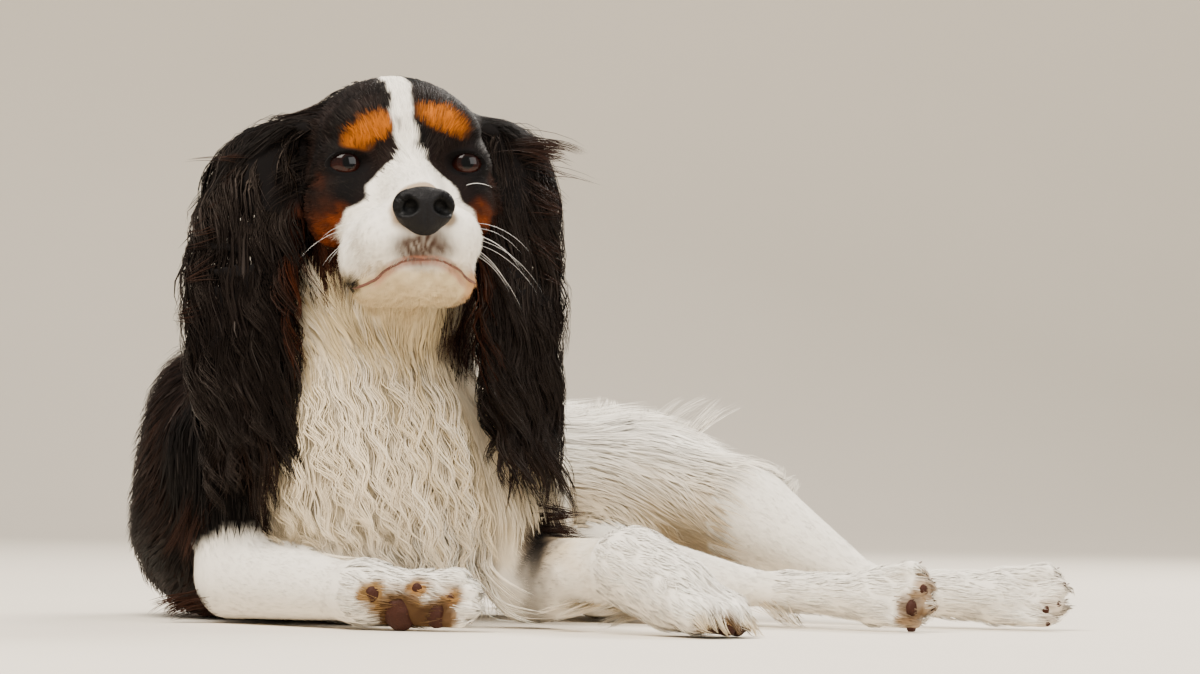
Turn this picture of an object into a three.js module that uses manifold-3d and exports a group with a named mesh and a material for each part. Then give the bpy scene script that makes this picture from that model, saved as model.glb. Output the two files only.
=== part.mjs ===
// A cavalier king charles spaniel that lies with its chest up and its hips rolled over,
// as a life-size still model in millimetres.
// +X runs to the dog's left, +Y runs back from its face, +Z is up, and the floor is at zero.
// The body's outer shape is the outline of its short coat. The long coat stands on it in locks.
import * as THREE from "three";
import { mergeVertices } from "three/addons/utils/BufferGeometryUtils.js";
import Module from "manifold-3d";

const wasm = await Module();
wasm.setup();

const point = (x, y, z) => new THREE.Vector3(x, y, z);
const UP = point(0, 0, 1);
const TO_FRONT = point(0, -1, 0);

// Colours of the nodes, where they differ from the white coat
const WHITE = 0xefebe2;
const COLOURS = {
  nose: 0x2a2628,
  eye_left: 0x2b160b,
  eye_right: 0x2b160b,
  ear_left: 0x1d1613,
  ear_right: 0x1d1613,
  ribs: 0x1d1613,
  upper_arm_right: 0x1d1613,
};

// Clearances
const GAP = 0.3; // between two nodes that touch
const FLOOR_CLEAR = 0.6; // under a lock that lies on the floor

// Head: the frame of the face has its origin midway between the pupils
const FACE_AT = point(-99.6, 65, 233.6);
const FACE_YAW = THREE.MathUtils.degToRad(12.2);
const FACE_PITCH = THREE.MathUtils.degToRad(7);
const FACE_ROLL = THREE.MathUtils.degToRad(1.6);
const EYE = { half_spacing: 31, depth: 6.5, drop: 0, radius: 12, lid: 2 };
const LID_OPENING = { half_width: 9.6, half_height: 5.8, half_depth: 7, depth: -6 };
const NOSE = { depth: -47, drop: -33, half_width: 15, half_height: 12, half_depth: 9 };
const NOSTRIL = {
  out: 6.6,
  depth: -55.5,
  drop: -33.5,
  half_width: 3.4,
  half_height: 2.5,
  half_depth: 4,
};
const MOUTH = { line: [[29, -5, -66], [22, -20, -65], [13, -38, -61.5], [4.5, -46, -58]], radius: 1.7 };

// Ears: the middle line of the hanging flap, its half widths, and the side it opens to
const RIGHT_EAR = {
  line: [
    point(-146, 100, 258),
    point(-168, 98, 252),
    point(-181, 90, 218),
    point(-186, 82, 172),
    point(-182, 77, 132),
    point(-178, 74, 104),
  ],
  fringe: [point(-175, 71, 84), point(-171, 68, 64)],
  across: point(-0.95, 0.3, 0),
  half_width: 30,
};
const LEFT_EAR = {
  line: [
    point(-66, 112, 258),
    point(-47, 110, 251),
    point(-40, 102, 218),
    point(-38, 94, 172),
    point(-38, 86, 132),
    point(-36, 82, 104),
  ],
  fringe: [point(-33, 77, 84), point(-30, 72, 64)],
  across: point(-0.7, -0.72, 0),
  half_width: 27,
};
const EAR = {
  thick: 4.5,
  thinning: 0.45, // share of the thickness that is lost by the lower end
  cup: 5,
  narrow: 0.35, // share of the half width that the leather has all along
  swell_from: 0.12, // part of a half turn of sine, from the root to the lower end
  swell_run: 0.66,
};
const EAR_LOCKS = { rows: 4, columns: 4, first_row: 0.1, row_step: 0.16, half_width: [8, 10], rise: [3, 8] };

// Trunk: the front of it lies nearly along Y, and the hind part nearly along X. Each seam is a
// plane, given by a point on it and the direction to the tail.
const FRONT_LINE = [point(-113, 92, 84), point(-138, 140, 84), point(-160, 190, 82)];
const HIND_LINE = [point(-128, 240, 74), point(-72, 265, 70), point(-6, 282, 64), point(22, 285, 62)];
const WAIST = { at: point(-112, 248, 80), to: point(0.85, 0.53, 0).normalize() };
const GIRTH = { at: point(-135, 142, 80), to: point(-0.25, 1, 0.1).normalize() };
const FLANK = { at: point(-34, 276, 70), to: point(0.97, 0.24, 0).normalize() };

// Neck
const NECK_TOP = point(-112, 122, 214);
const NECK_BASE = point(-138, 148, 132);

// Tail: its middle line, and the radius of it at both ends
const TAIL_LINE = [point(44, 326, 52), point(40, 362, 34), point(0, 388, 20), point(-60, 396, 15)];
const TAIL_RADII = [15, 10];

// Legs: joints and the radius of the limb at each, and which way the toes lie side by side
const RIGHT_FORELEG = {
  shoulder: [point(-188, 120, 90), 40],
  elbow: [point(-182, 97, 23), 26],
  wrist: [point(-114, 30, 19), 18],
  knuckles: [point(-86, 22, 18), 15],
  toes: [point(-67, 18, 18), 17],
  row: point(0, 0.15, 1),
};
const LEFT_FORELEG = {
  shoulder: [point(-52, 118, 92), 38],
  elbow: [point(-32, 92, 24), 26],
  wrist: [point(18, 26, 33), 18],
  knuckles: [point(40, 8, 21), 17],
  toes: [point(56, -1, 10), 17],
  row: point(0.5, 0.85, 0),
};
const RIGHT_HIND_LEG = {
  hip: [point(2, 268, 42), 44],
  stifle: [point(2, 196, 28), 29],
  hock: [point(97, 152, 20), 12.5],
  knuckles: [point(143, 127, 18), 14],
  toes: [point(162, 117, 18), 17.5],
  row: point(0, 0.2, 1),
};
const LEFT_HIND_LEG = {
  hip: [point(24, 264, 70), 41],
  stifle: [point(80, 236, 58), 30],
  hock: [point(152, 196, 25), 13.5],
  knuckles: [point(212, 178, 18), 15],
  toes: [point(236, 172, 17), 17],
  row: point(0.1, 0.25, 1),
};

// Four toes side by side: their places across the foot, their radius and spacing as shares of the
// foot's radius, and how softly they blend into the foot and into one another
const TOES = {
  places: [-1.5, -0.5, 0.5, 1.5],
  radius: 0.4,
  tip_spacing: 0.5,
  root_spacing: 0.4,
  middle_longer: 6,
  web: 7,
  cleft: 2.5,
};

// Long coat: patches of locks on a form. Each patch has its four corners, in rows along its lie.
// A lock's root is sunk in the body, and its tip rises clear of it.
const LOCK = { sink: 4, thick: 2.6, thinning: 0.6, root_width: 0.55, tip_taper: 0.72, sides: 4, rows: 4 };
const COAT = {
  chest: [
    {
      corners: [point(-150, 50, 158), point(-66, 50, 158), point(-168, 48, 62), point(-58, 48, 62)],
      columns: 5,
      rows: 4,
      lie: point(0.12, 0, -1),
      length: 52,
      half_width: 8.5,
      rise: 9,
    },
    {
      corners: [point(-182, 66, 40), point(-48, 62, 40), point(-182, 66, 36), point(-48, 62, 36)],
      columns: 6,
      rows: 1,
      lie: point(0.1, -0.15, -1),
      length: 34,
      half_width: 9,
      rise: 8,
    },
  ],
  neck: [
    {
      corners: [point(-150, 70, 196), point(-70, 66, 196), point(-156, 62, 176), point(-68, 60, 176)],
      columns: 3,
      rows: 2,
      lie: point(-0.35, 0, -1),
      length: 40,
      half_width: 10,
      rise: 7,
    },
  ],
  ribs: [
    {
      corners: [point(-252, 150, 70), point(-236, 260, 70), point(-250, 145, 34), point(-236, 262, 34)],
      columns: 4,
      rows: 2,
      lie: point(-0.25, 0.35, -1),
      length: 42,
      half_width: 9,
      rise: 7,
    },
    {
      corners: [point(-236, 118, 22), point(-244, 190, 22), point(-236, 118, 16), point(-244, 190, 16)],
      columns: 3,
      rows: 1,
      lie: point(-1, -0.4, -0.3),
      length: 40,
      half_width: 8,
      rise: 16,
    },
    {
      corners: [point(-222, 150, 170), point(-200, 230, 180), point(-250, 160, 130), point(-230, 240, 130)],
      columns: 2,
      rows: 2,
      lie: point(-0.6, 0.4, -0.6),
      length: 50,
      half_width: 12,
      rise: 5,
    },
  ],
  loin: [
    {
      corners: [point(-118, 290, 118), point(-50, 312, 110), point(-120, 330, 80), point(-50, 345, 72)],
      columns: 3,
      rows: 2,
      lie: point(0.7, 0.5, -0.6),
      length: 44,
      half_width: 9,
      rise: 6,
    },
  ],
  rump: [
    {
      corners: [point(-28, 262, 126), point(-30, 300, 122), point(44, 268, 112), point(50, 310, 98)],
      columns: 3,
      rows: 3,
      lie: point(0.9, 0.25, 0.1),
      length: 44,
      half_width: 9,
      rise: 8,
    },
  ],
  upper_arm_right: [
    {
      corners: [point(-222, 96, 104), point(-180, 84, 96), point(-222, 92, 62), point(-182, 78, 60)],
      columns: 2,
      rows: 2,
      lie: point(-0.15, 0, -1),
      length: 48,
      half_width: 10,
      rise: 8,
    },
  ],
  upper_arm_left: [
    {
      corners: [point(-40, 78, 84), point(-8, 96, 80), point(-30, 72, 60), point(-6, 92, 56)],
      columns: 2,
      rows: 2,
      lie: point(0.5, 0, -0.8),
      length: 34,
      half_width: 7,
      rise: 7,
    },
  ],
  forearm_right: [
    {
      corners: [point(-196, 92, 52), point(-130, 46, 40), point(-200, 84, 14), point(-140, 36, 10)],
      columns: 4,
      rows: 1,
      lie: point(0.75, -0.5, -0.3),
      length: 36,
      half_width: 7,
      rise: 5,
    },
  ],
  forearm_left: [
    {
      corners: [point(-22, 64, 40), point(16, 28, 46), point(-24, 60, 14), point(2, 22, 12)],
      columns: 2,
      rows: 2,
      lie: point(0.5, -0.5, -0.6),
      length: 30,
      half_width: 7,
      rise: 6,
    },
  ],
  shank_right: [
    {
      corners: [point(40, 168, 16), point(84, 150, 12), point(40, 166, 10), point(84, 148, 8)],
      columns: 3,
      rows: 1,
      lie: point(0.8, -0.55, -0.3),
      length: 32,
      half_width: 6,
      rise: 5,
    },
  ],
  shank_left: [
    {
      corners: [point(104, 216, 70), point(136, 200, 44), point(104, 212, 66), point(136, 198, 40)],
      columns: 3,
      rows: 1,
      lie: point(0.8, -0.2, -0.3),
      length: 30,
      half_width: 6,
      rise: 5,
    },
  ],
  tail: [
    {
      corners: [point(50, 352, 40), point(-52, 384, 22), point(40, 372, 20), point(-52, 404, 10)],
      columns: 4,
      rows: 2,
      lie: point(-0.75, 0.5, -0.2),
      length: 46,
      half_width: 8.5,
      rise: 6,
    },
  ],
};

// Facets: the sides round each body, and its rows at the back end, along it and at the front end
const FACETS = {
  eye: { sides: 14, rows: 9 },
  nose: { sides: 14, back: 2, middle: 1, front: 4 },
  head: { sides: 28, back: 4, middle: 1, front: 14 },
  front_trunk: { sides: 18, back: 5, middle: 6, front: 4 },
  hind_trunk: { sides: 16, back: 4, middle: 7, front: 4 },
  neck: { sides: 14, back: 2, middle: 4, front: 2 },
  leg: { sides: 10, back: 2, middle: 3, front: 2 },
  foot: { sides: 14, back: 2, middle: 4, front: 4 },
  tail: { sides: 10, back: 2, middle: 8, front: 3 },
  ear: { sides: 10, rows: 7 },
  mouth: { sides: 4, rows: 16 },
  lid: { sides: 16, rows: 8 },
  nostril: { sides: 8, rows: 6 },
};
const FAR = 900; // past the whole model, in any direction
const SEAM_OVERLAP = 30; // how far a half of the trunk runs past its seam before it is cut

// Seeds of the random draws that vary the locks
const SEEDS = { ear_right: 11, ear_left: 12, patches: 100, patches_per_node: 10 };

// Seeded random draws, so that each run makes the same coat
function draws(seed) {
  let state = seed;
  return (low, high) => {
    state = (Math.imul(state, 1664525) + 1013904223) >>> 0;
    return low + ((high - low) * state) / 4294967296;
  };
}

// Forms: each gives the distance of a point from a surface, negative inside
function ball(centre, radii, turn = 0) {
  const back = new THREE.Quaternion().setFromAxisAngle(UP, -turn);
  return (p) => {
    const q = p.clone().sub(centre).applyQuaternion(back);
    const near = q.clone().divide(radii).length();
    const steep = q.clone().divide(radii).divide(radii).length();
    return steep < 1e-9 ? -Math.min(...radii) : (near * (near - 1)) / steep;
  };
}

function limb(a, b, ra, rb) {
  const along = b.clone().sub(a);
  const squared = along.lengthSq();
  const taper = ra - rb;
  const slope = squared - taper * taper;
  return (p) => {
    const from = p.clone().sub(a);
    const y = from.dot(along);
    const z = y - squared;
    const x2 = from.multiplyScalar(squared).addScaledVector(along, -y).lengthSq();
    const k = Math.sign(taper) * taper * taper * x2;
    if (Math.sign(z) * slope * z * z * squared > k)
      return Math.sqrt(x2 + z * z * squared) / squared - rb;
    if (Math.sign(y) * slope * y * y * squared < k)
      return Math.sqrt(x2 + y * y * squared) / squared - ra;
    return (Math.sqrt((x2 * slope) / squared) + y * taper) / squared - ra;
  };
}

const smoothMin = (a, b, k) => {
  const h = Math.max(k - Math.abs(a - b), 0) / k;
  return Math.min(a, b) - (h * h * k) / 4;
};
const blend = (k, ...forms) => (p) => {
  return forms.map((form) => form(p)).reduce((a, b) => smoothMin(a, b, k));
};

// The slope of a form at a point, which is the way out of it
function wayOut(form, p) {
  const step = 0.5;
  const at = (x, y, z) => form(point(p.x + x, p.y + y, p.z + z));
  return point(
    at(step, 0, 0) - at(-step, 0, 0),
    at(0, step, 0) - at(0, -step, 0),
    at(0, 0, step) - at(0, 0, -step),
  ).normalize();
}

// How far out from an inner point, in one direction, the form's surface lies
function reach(form, from, direction, level) {
  const at = (r) => form(from.clone().addScaledVector(direction, r)) - level;
  let low = 0;
  let high = 1;
  while (at(high) < 0 && high < 400) {
    low = high;
    high += Math.max(1, -at(high) * 0.8);
  }
  for (let i = 0; i < 24; i += 1) {
    const middle = (low + high) / 2;
    if (at(middle) < 0) low = middle;
    else high = middle;
  }
  return (low + high) / 2;
}

// The nearest point at a level of a form, found by steps along its slope
function settle(form, p, level = 0) {
  const place = p.clone();
  for (let i = 0; i < 6; i += 1) {
    place.addScaledVector(wayOut(form, place), level - form(place));
  }
  return place;
}

// Solids
function solidOf(geometry) {
  geometry.deleteAttribute("normal");
  geometry.deleteAttribute("uv");
  const merged = mergeVertices(geometry, 1e-4);
  const solid = new wasm.Manifold(
    new wasm.Mesh({
      numProp: 3,
      vertProperties: merged.attributes.position.array,
      triVerts: new Uint32Array(merged.index.array),
    }),
  );
  if (solid.volume() > 0) return solid;
  throw new Error("a solid is inside out");
}

const boxSolid = (low, high) => {
  const size = high.clone().sub(low);
  const box = new THREE.BoxGeometry(size.x, size.y, size.z);
  const middle = low.clone().add(high).multiplyScalar(0.5);
  return solidOf(box.translate(middle.x, middle.y, middle.z));
};
const ABOVE_FLOOR = boxSolid(point(-FAR, -FAR, 0), point(FAR, FAR, FAR));

const largest = (solid) =>
  solid.decompose().reduce((a, b) => (a.volume() >= b.volume() ? a : b));
const join = (solids) => solids.reduce((a, b) => a.add(b));

// Rows of a closed skin: each has its share of the centreline and its tilt from square to it.
// The ends fan out in a half turn, from straight back to straight on.
function spread({ back, middle, front }) {
  const rows = [];
  for (let i = 0; i < back; i += 1) rows.push([0, (i / back - 1) * 90]);
  for (let i = 0; i <= middle; i += 1) rows.push([i / middle, 0]);
  for (let i = 1; i <= front; i += 1) rows.push([1, (i / front) * 90]);
  return rows;
}

// A closed skin round a centreline: a sphere's rows of points are spread along the line, and
// each point goes out from it until it meets the form, or a level outside the form
function wrap(form, line, facets, level = 0, ahead = UP) {
  const { sides } = facets;
  const rows = spread(facets);
  const skin = new THREE.SphereGeometry(1, sides, rows.length - 1);
  const places = skin.getAttribute("position");
  for (let i = 0; i < places.count; i += 1) {
    const [share, tilt] = rows[Math.floor(i / (sides + 1))];
    const turn = ((i % (sides + 1)) / sides) * Math.PI * 2;
    const slope = THREE.MathUtils.degToRad(tilt);
    const origin = line.getPointAt(share);
    const along = line.getTangentAt(share);
    const side = ahead.clone().addScaledVector(along, -ahead.dot(along)).normalize();
    const other = along.clone().cross(side);
    const round = side.multiplyScalar(-Math.cos(turn)).addScaledVector(other, Math.sin(turn));
    const out = round.multiplyScalar(Math.cos(slope)).addScaledVector(along, Math.sin(slope));
    const place = origin.addScaledVector(out, reach(form, origin, out, level));
    places.setXYZ(i, place.x, place.y, place.z);
  }
  return solidOf(skin);
}

// A flat tapered body on a curve, such as a lock of hair or the leather of an ear. width and
// thick give half sizes by the share of the length, and cup bends its edges inwards.
function ribbon(path, side, width, thick, sides, rows, cup = 0, level = 0) {
  const body = new THREE.ConeGeometry(1, 1, sides, rows);
  const places = body.getAttribute("position");
  for (let i = 0; i < places.count; i += 1) {
    const share = places.getY(i) + 0.5;
    const round = Math.hypot(places.getX(i), places.getZ(i));
    const across = round < 1e-6 ? 0 : places.getX(i) / round;
    const raised = round < 1e-6 ? 0 : places.getZ(i) / round;
    const origin = path.getPoint(share);
    const along = path.getTangent(share);
    const flat = side.clone().addScaledVector(along, -side.dot(along)).normalize();
    const face = flat.clone().cross(along);
    const bend = -cup * across * across;
    const place = origin
      .addScaledVector(flat, across * (width(share) + level))
      .addScaledVector(face, raised * (thick(share) + level) + bend)
      .addScaledVector(along, level * (2 * share - 1));
    places.setXYZ(i, place.x, place.y, place.z);
  }
  return solidOf(body);
}

// The head's form, in the frame of the face
const FACE = new THREE.Matrix4()
  .makeTranslation(FACE_AT.x, FACE_AT.y, FACE_AT.z)
  .multiply(new THREE.Matrix4().makeRotationZ(FACE_YAW))
  .multiply(new THREE.Matrix4().makeRotationX(-FACE_PITCH))
  .multiply(new THREE.Matrix4().makeRotationY(-FACE_ROLL));
const FACE_BACK = FACE.clone().invert();
const onFace = (x, y, z) => point(x, y, z).applyMatrix4(FACE);
const faceForm = (form) => (p) => form(p.clone().applyMatrix4(FACE_BACK));
const pair = (make) => [make(-1), make(1)];

const SKULL = blend(
  14,
  ball(point(0, 42, 12), point(50, 52, 43)),
  ball(point(0, 16, 13), point(38, 28, 29)),
  ...pair((s) => ball(point(s * 23, 4, 18), point(15, 10, 11))),
  ...pair((s) => ball(point(s * 33, 20, -16), point(18, 30, 24))),
  ...pair((s) => ball(point(s * 38, 56, 14), point(16, 20, 24))),
);
const MUZZLE = blend(
  9,
  limb(point(0, 6, -8), point(0, -33, -27), 20, 14),
  ball(point(0, -31, -42), point(14, 20, 16)),
  ...pair((s) => ball(point(s * 17, -29, -43), point(16, 18, 17))),
  ...pair((s) => ball(point(s * 22.5, -9, -49), point(15, 17, 20))),
  ball(point(0, -2, -40), point(24, 38, 22)),
  ...pair((s) => ball(point(s * 20, 0, -24), point(15, 16, 16))),
);
const JAW = blend(
  8,
  limb(point(0, -26, -63), point(0, 26, -50), 13, 24),
  ...pair((s) => ball(point(s * 13, -20, -63), point(13, 16, 11))),
);
const EYELIDS = pair((s) => {
  const round = EYE.radius + EYE.lid;
  return ball(point(s * EYE.half_spacing, EYE.depth, EYE.drop), point(round, round, round));
});
const HEAD = faceForm(blend(4, blend(5, blend(12, SKULL, MUZZLE), JAW), ...EYELIDS));
const NOSE_FORM = faceForm(
  blend(
    4,
    ball(
      point(0, NOSE.depth, NOSE.drop + 2),
      point(NOSE.half_width, NOSE.half_depth, NOSE.half_height - 2),
    ),
    ball(point(0, NOSE.depth + 1, NOSE.drop - 5), point(7, NOSE.half_depth, 8)),
  ),
);

// The trunk's and neck's forms
const TRUNK = blend(
  34,
  ball(point(-112, 108, 84), point(66, 56, 82)),
  ball(point(-108, 118, 40), point(66, 60, 50)),
  ball(point(-163, 182, 84), point(86, 96, 92)),
  ball(point(-176, 190, 42), point(74, 88, 50)),
  ball(point(-92, 256, 68), point(86, 62, 64), 0.45),
  ball(point(6, 284, 60), point(78, 60, 57), 0.12),
);
const NECK = blend(
  20,
  limb(NECK_TOP, NECK_BASE, 46, 72),
  ball(point(-104, 96, 168), point(36, 32, 40)),
);

// The legs' forms
const between = (a, b) => limb(a[0], b[0], a[1], b[1]);
const foot = (leg) => {
  const { wrist, hock, knuckles, toes, row } = leg;
  const along = toes[0].clone().sub(knuckles[0]).normalize();
  const across = row.clone().normalize();
  const toeRadius = toes[1] * TOES.radius;
  const four = TOES.places.map((share) => {
    const longer = Math.abs(share) < 1 ? TOES.middle_longer : 0;
    const tip = toes[0].clone().addScaledVector(across, share * toes[1] * TOES.tip_spacing);
    const start = knuckles[0].clone().addScaledVector(across, share * knuckles[1] * TOES.root_spacing);
    return limb(start, tip.addScaledVector(along, longer), toeRadius, toeRadius);
  });
  return blend(TOES.web, between(wrist ?? hock, knuckles), blend(TOES.cleft, ...four));
};

// Half of space on the tail's side of a seam, or on the face's side
const beyond = (seam, sign, clear = GAP / 2) => {
  const half = boxSolid(point(-FAR, clear, -FAR), point(FAR, FAR, FAR));
  const turn = new THREE.Quaternion().setFromUnitVectors(
    point(0, 1, 0),
    seam.to.clone().multiplyScalar(sign),
  );
  const place = new THREE.Matrix4().compose(seam.at, turn, point(1, 1, 1));
  return half.transform(place.elements);
};
const pastSeam = (seam, sign) => (p) => sign * p.clone().sub(seam.at).dot(seam.to) - SEAM_OVERLAP;
const limited = (form, limit) => (p) => Math.max(form(p), limit(p));

// Bodies: each gives way by the gap to those that are already there
const bodies = new Map();
const grown = new Map();
const giveWay = (solid) => [...grown.values()].reduce((left, other) => left.subtract(other), solid);
function fit(name, make, cutters = []) {
  bodies.set(name, cutters.reduce((left, cutter) => left.subtract(cutter), giveWay(make(0))));
  grown.set(name, make(GAP));
}
const straight = (a, b) => new THREE.LineCurve3(a, b);

// Eyes, nose and head
const eyeBall = (side) => (level) => {
  const round = new THREE.SphereGeometry(EYE.radius + level, FACETS.eye.sides, FACETS.eye.rows);
  const place = onFace(side * EYE.half_spacing, EYE.depth, EYE.drop);
  return solidOf(round.translate(place.x, place.y, place.z));
};
const onFaceEllipsoid = (x, y, z, a, b, c, { sides, rows }) =>
  solidOf(new THREE.SphereGeometry(1, sides, rows).scale(a, b, c).translate(x, y, z).applyMatrix4(FACE));
const noseWrap = (level) => {
  const line = straight(onFace(0, NOSE.depth + 3, NOSE.drop), onFace(0, NOSE.depth, NOSE.drop));
  return wrap(NOSE_FORM, line, FACETS.nose, level);
};
const headLine = straight(onFace(0, 46, 4), onFace(0, 24, -12));
const headWrap = (level) => wrap(HEAD, headLine, FACETS.head, level);

// The line between the lips, as a round cutter that follows the muzzle from corner to corner
function mouthCutter() {
  const half = MOUTH.line.map(([x, y, z]) => settle(HEAD, onFace(x, y, z)));
  const other = MOUTH.line.map(([x, y, z]) => settle(HEAD, onFace(-x, y, z)));
  const path = new THREE.CatmullRomCurve3([...half, settle(HEAD, onFace(0, -47, -57)), ...other.reverse()]);
  const radius = (s) => MOUTH.radius * Math.min(1, 0.3 + 6 * Math.min(s, 1 - s));
  return ribbon(path, UP, radius, radius, FACETS.mouth.sides, FACETS.mouth.rows);
}

const lidOpening = (side) => {
  const { depth, half_width, half_depth, half_height } = LID_OPENING;
  const out = side * EYE.half_spacing;
  return onFaceEllipsoid(out, depth, EYE.drop, half_width, half_depth, half_height, FACETS.lid);
};
const nostril = (side) => {
  const { out, depth, drop, half_width, half_depth, half_height } = NOSTRIL;
  return onFaceEllipsoid(side * out, depth, drop, half_width, half_depth, half_height, FACETS.nostril);
};

fit("eye_right", eyeBall(-1));
fit("eye_left", eyeBall(1));
bodies.set("nose", noseWrap(0).subtract(nostril(-1)).subtract(nostril(1)));
grown.set("nose", noseWrap(GAP));
fit("head", headWrap, [...pair(lidOpening), mouthCutter()]);

// Trunk and neck
const frontWrap = (level) => {
  const form = limited(TRUNK, pastSeam(WAIST, 1));
  return wrap(form, new THREE.CatmullRomCurve3(FRONT_LINE), FACETS.front_trunk, level);
};
const hindWrap = (level) => {
  const form = limited(TRUNK, pastSeam(WAIST, -1));
  return wrap(form, new THREE.CatmullRomCurve3(HIND_LINE), FACETS.hind_trunk, level);
};
const halves = [
  [giveWay(frontWrap(0)), frontWrap(GAP), -1, [["chest", GIRTH, -1], ["ribs", GIRTH, 1]]],
  [hindWrap(0), hindWrap(GAP), 1, [["loin", FLANK, -1], ["rump", FLANK, 1]]],
];
for (const [body, wide, end, stretches] of halves) {
  for (const [name, seam, sign] of stretches) {
    bodies.set(name, body.intersect(beyond(WAIST, end)).intersect(beyond(seam, sign)));
    const near = wide.intersect(beyond(WAIST, end, -GAP / 2));
    grown.set(name, near.intersect(beyond(seam, sign, -GAP / 2)));
  }
}
fit("neck", (level) =>
  wrap(NECK, straight(NECK_TOP, NECK_BASE), FACETS.neck, level, TO_FRONT),
);

// Legs
const LEGS = [
  ["right", RIGHT_FORELEG, "shoulder", "elbow", "wrist", ["upper_arm", "forearm", "forepaw"]],
  ["left", LEFT_FORELEG, "shoulder", "elbow", "wrist", ["upper_arm", "forearm", "forepaw"]],
  ["right", RIGHT_HIND_LEG, "hip", "stifle", "hock", ["thigh", "shank", "hind_foot"]],
  ["left", LEFT_HIND_LEG, "hip", "stifle", "hock", ["thigh", "shank", "hind_foot"]],
];
for (const [side, leg, top, middle, low, parts] of LEGS) {
  const ahead = top === "shoulder" ? TO_FRONT : UP;
  const upperLine = straight(leg[top][0], leg[middle][0]);
  const lowerLine = straight(leg[middle][0], leg[low][0]);
  const footLine = new THREE.CatmullRomCurve3([leg[low][0], leg.knuckles[0], leg.toes[0]]);
  fit(`${parts[1]}_${side}`, (level) =>
    wrap(between(leg[middle], leg[low]), lowerLine, FACETS.leg, level),
  );
  fit(`${parts[0]}_${side}`, (level) =>
    wrap(between(leg[top], leg[middle]), upperLine, FACETS.leg, level, ahead),
  );
  fit(`${parts[2]}_${side}`, (level) => wrap(foot(leg), footLine, FACETS.foot, level));
}

// Tail
const tailLine = new THREE.CatmullRomCurve3(TAIL_LINE);
const tailForm = blend(
  6,
  ...TAIL_LINE.slice(1).map((to, i) => {
    const radius = (share) => THREE.MathUtils.lerp(...TAIL_RADII, share / (TAIL_LINE.length - 1));
    return limb(TAIL_LINE[i], to, radius(i), radius(i + 1));
  }),
);
fit("tail", (level) => wrap(tailForm, tailLine, FACETS.tail, level));

// Ears
function earLeather(ear, level) {
  const path = new THREE.CatmullRomCurve3(ear.line);
  const swell = (s) => Math.sin(Math.PI * (EAR.swell_from + EAR.swell_run * s));
  const width = (s) => ear.half_width * (EAR.narrow + (1 - EAR.narrow) * swell(s));
  const thick = (s) => EAR.thick * (1 - EAR.thinning * s);
  return ribbon(path, ear.across, width, thick, FACETS.ear.sides, FACETS.ear.rows, EAR.cup, level);
}
fit("ear_right", (level) => earLeather(RIGHT_EAR, level));
fit("ear_left", (level) => earLeather(LEFT_EAR, level));

// Locks
const FORMS = {
  neck: NECK,
  tail: tailForm,
  upper_arm_right: between(RIGHT_FORELEG.shoulder, RIGHT_FORELEG.elbow),
  upper_arm_left: between(LEFT_FORELEG.shoulder, LEFT_FORELEG.elbow),
  forearm_right: between(RIGHT_FORELEG.elbow, RIGHT_FORELEG.wrist),
  forearm_left: between(LEFT_FORELEG.elbow, LEFT_FORELEG.wrist),
  shank_right: between(RIGHT_HIND_LEG.stifle, RIGHT_HIND_LEG.hock),
  shank_left: between(LEFT_HIND_LEG.stifle, LEFT_HIND_LEG.hock),
};

function lockSolid(points, side, halfWidth, level) {
  const low = LOCK.thick + FLOOR_CLEAR;
  const raised = points.map((p) => point(p.x, p.y, Math.max(p.z, low)));
  const width = (s) => halfWidth * Math.min(1, LOCK.root_width + 1.2 * s) * (1 - LOCK.tip_taper * s * s);
  const thick = (s) => LOCK.thick * (1 - LOCK.thinning * s);
  const path = new THREE.CatmullRomCurve3(raised);
  return ribbon(path, side, width, thick, LOCK.sides, LOCK.rows, 0, level);
}

// A lock that is combed over a form along its lie
function combedLock(form, start, lie, patch, wave, level) {
  const points = [];
  const steps = LOCK.rows;
  const place = settle(form, start, -LOCK.sink);
  let side = null;
  for (let i = 0; i <= steps; i += 1) {
    const share = i / steps;
    const out = wayOut(form, place);
    const along = lie.clone().addScaledVector(out, -lie.dot(out)).normalize();
    side = side ?? along.clone().cross(out).normalize();
    const bent = place.clone().addScaledVector(side, wave * Math.sin(share * 5));
    points.push(bent);
    const next = place.addScaledVector(along, patch.length / steps);
    const height = -LOCK.sink + (patch.rise + LOCK.sink) * Math.sqrt((i + 1) / steps);
    place.copy(settle(form, next, height));
  }
  return lockSolid(points, side, patch.half_width, level);
}

function patchLocks(form, patch, seed, level) {
  const draw = draws(seed);
  const [a, b, c, d] = patch.corners;
  const locks = [];
  for (let row = 0; row < patch.rows; row += 1) {
    for (let column = 0; column < patch.columns; column += 1) {
      const u = (column + 0.5 + 0.25 * (row % 2 ? 1 : -1) + draw(-0.15, 0.15)) / patch.columns;
      const v = patch.rows > 1 ? row / (patch.rows - 1) : 0.5;
      const start = a.clone().lerp(b, u).lerp(c.clone().lerp(d, u), v);
      const lie = patch.lie.clone().normalize();
      lie.add(point(draw(-0.25, 0.25), draw(-0.25, 0.25), draw(-0.1, 0.1)));
      const size = draw(0.85, 1.15);
      const sized = { ...patch, length: patch.length * size, half_width: patch.half_width * size };
      locks.push(combedLock(form, start, lie, sized, draw(-3, 3), level));
    }
  }
  return locks;
}

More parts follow.
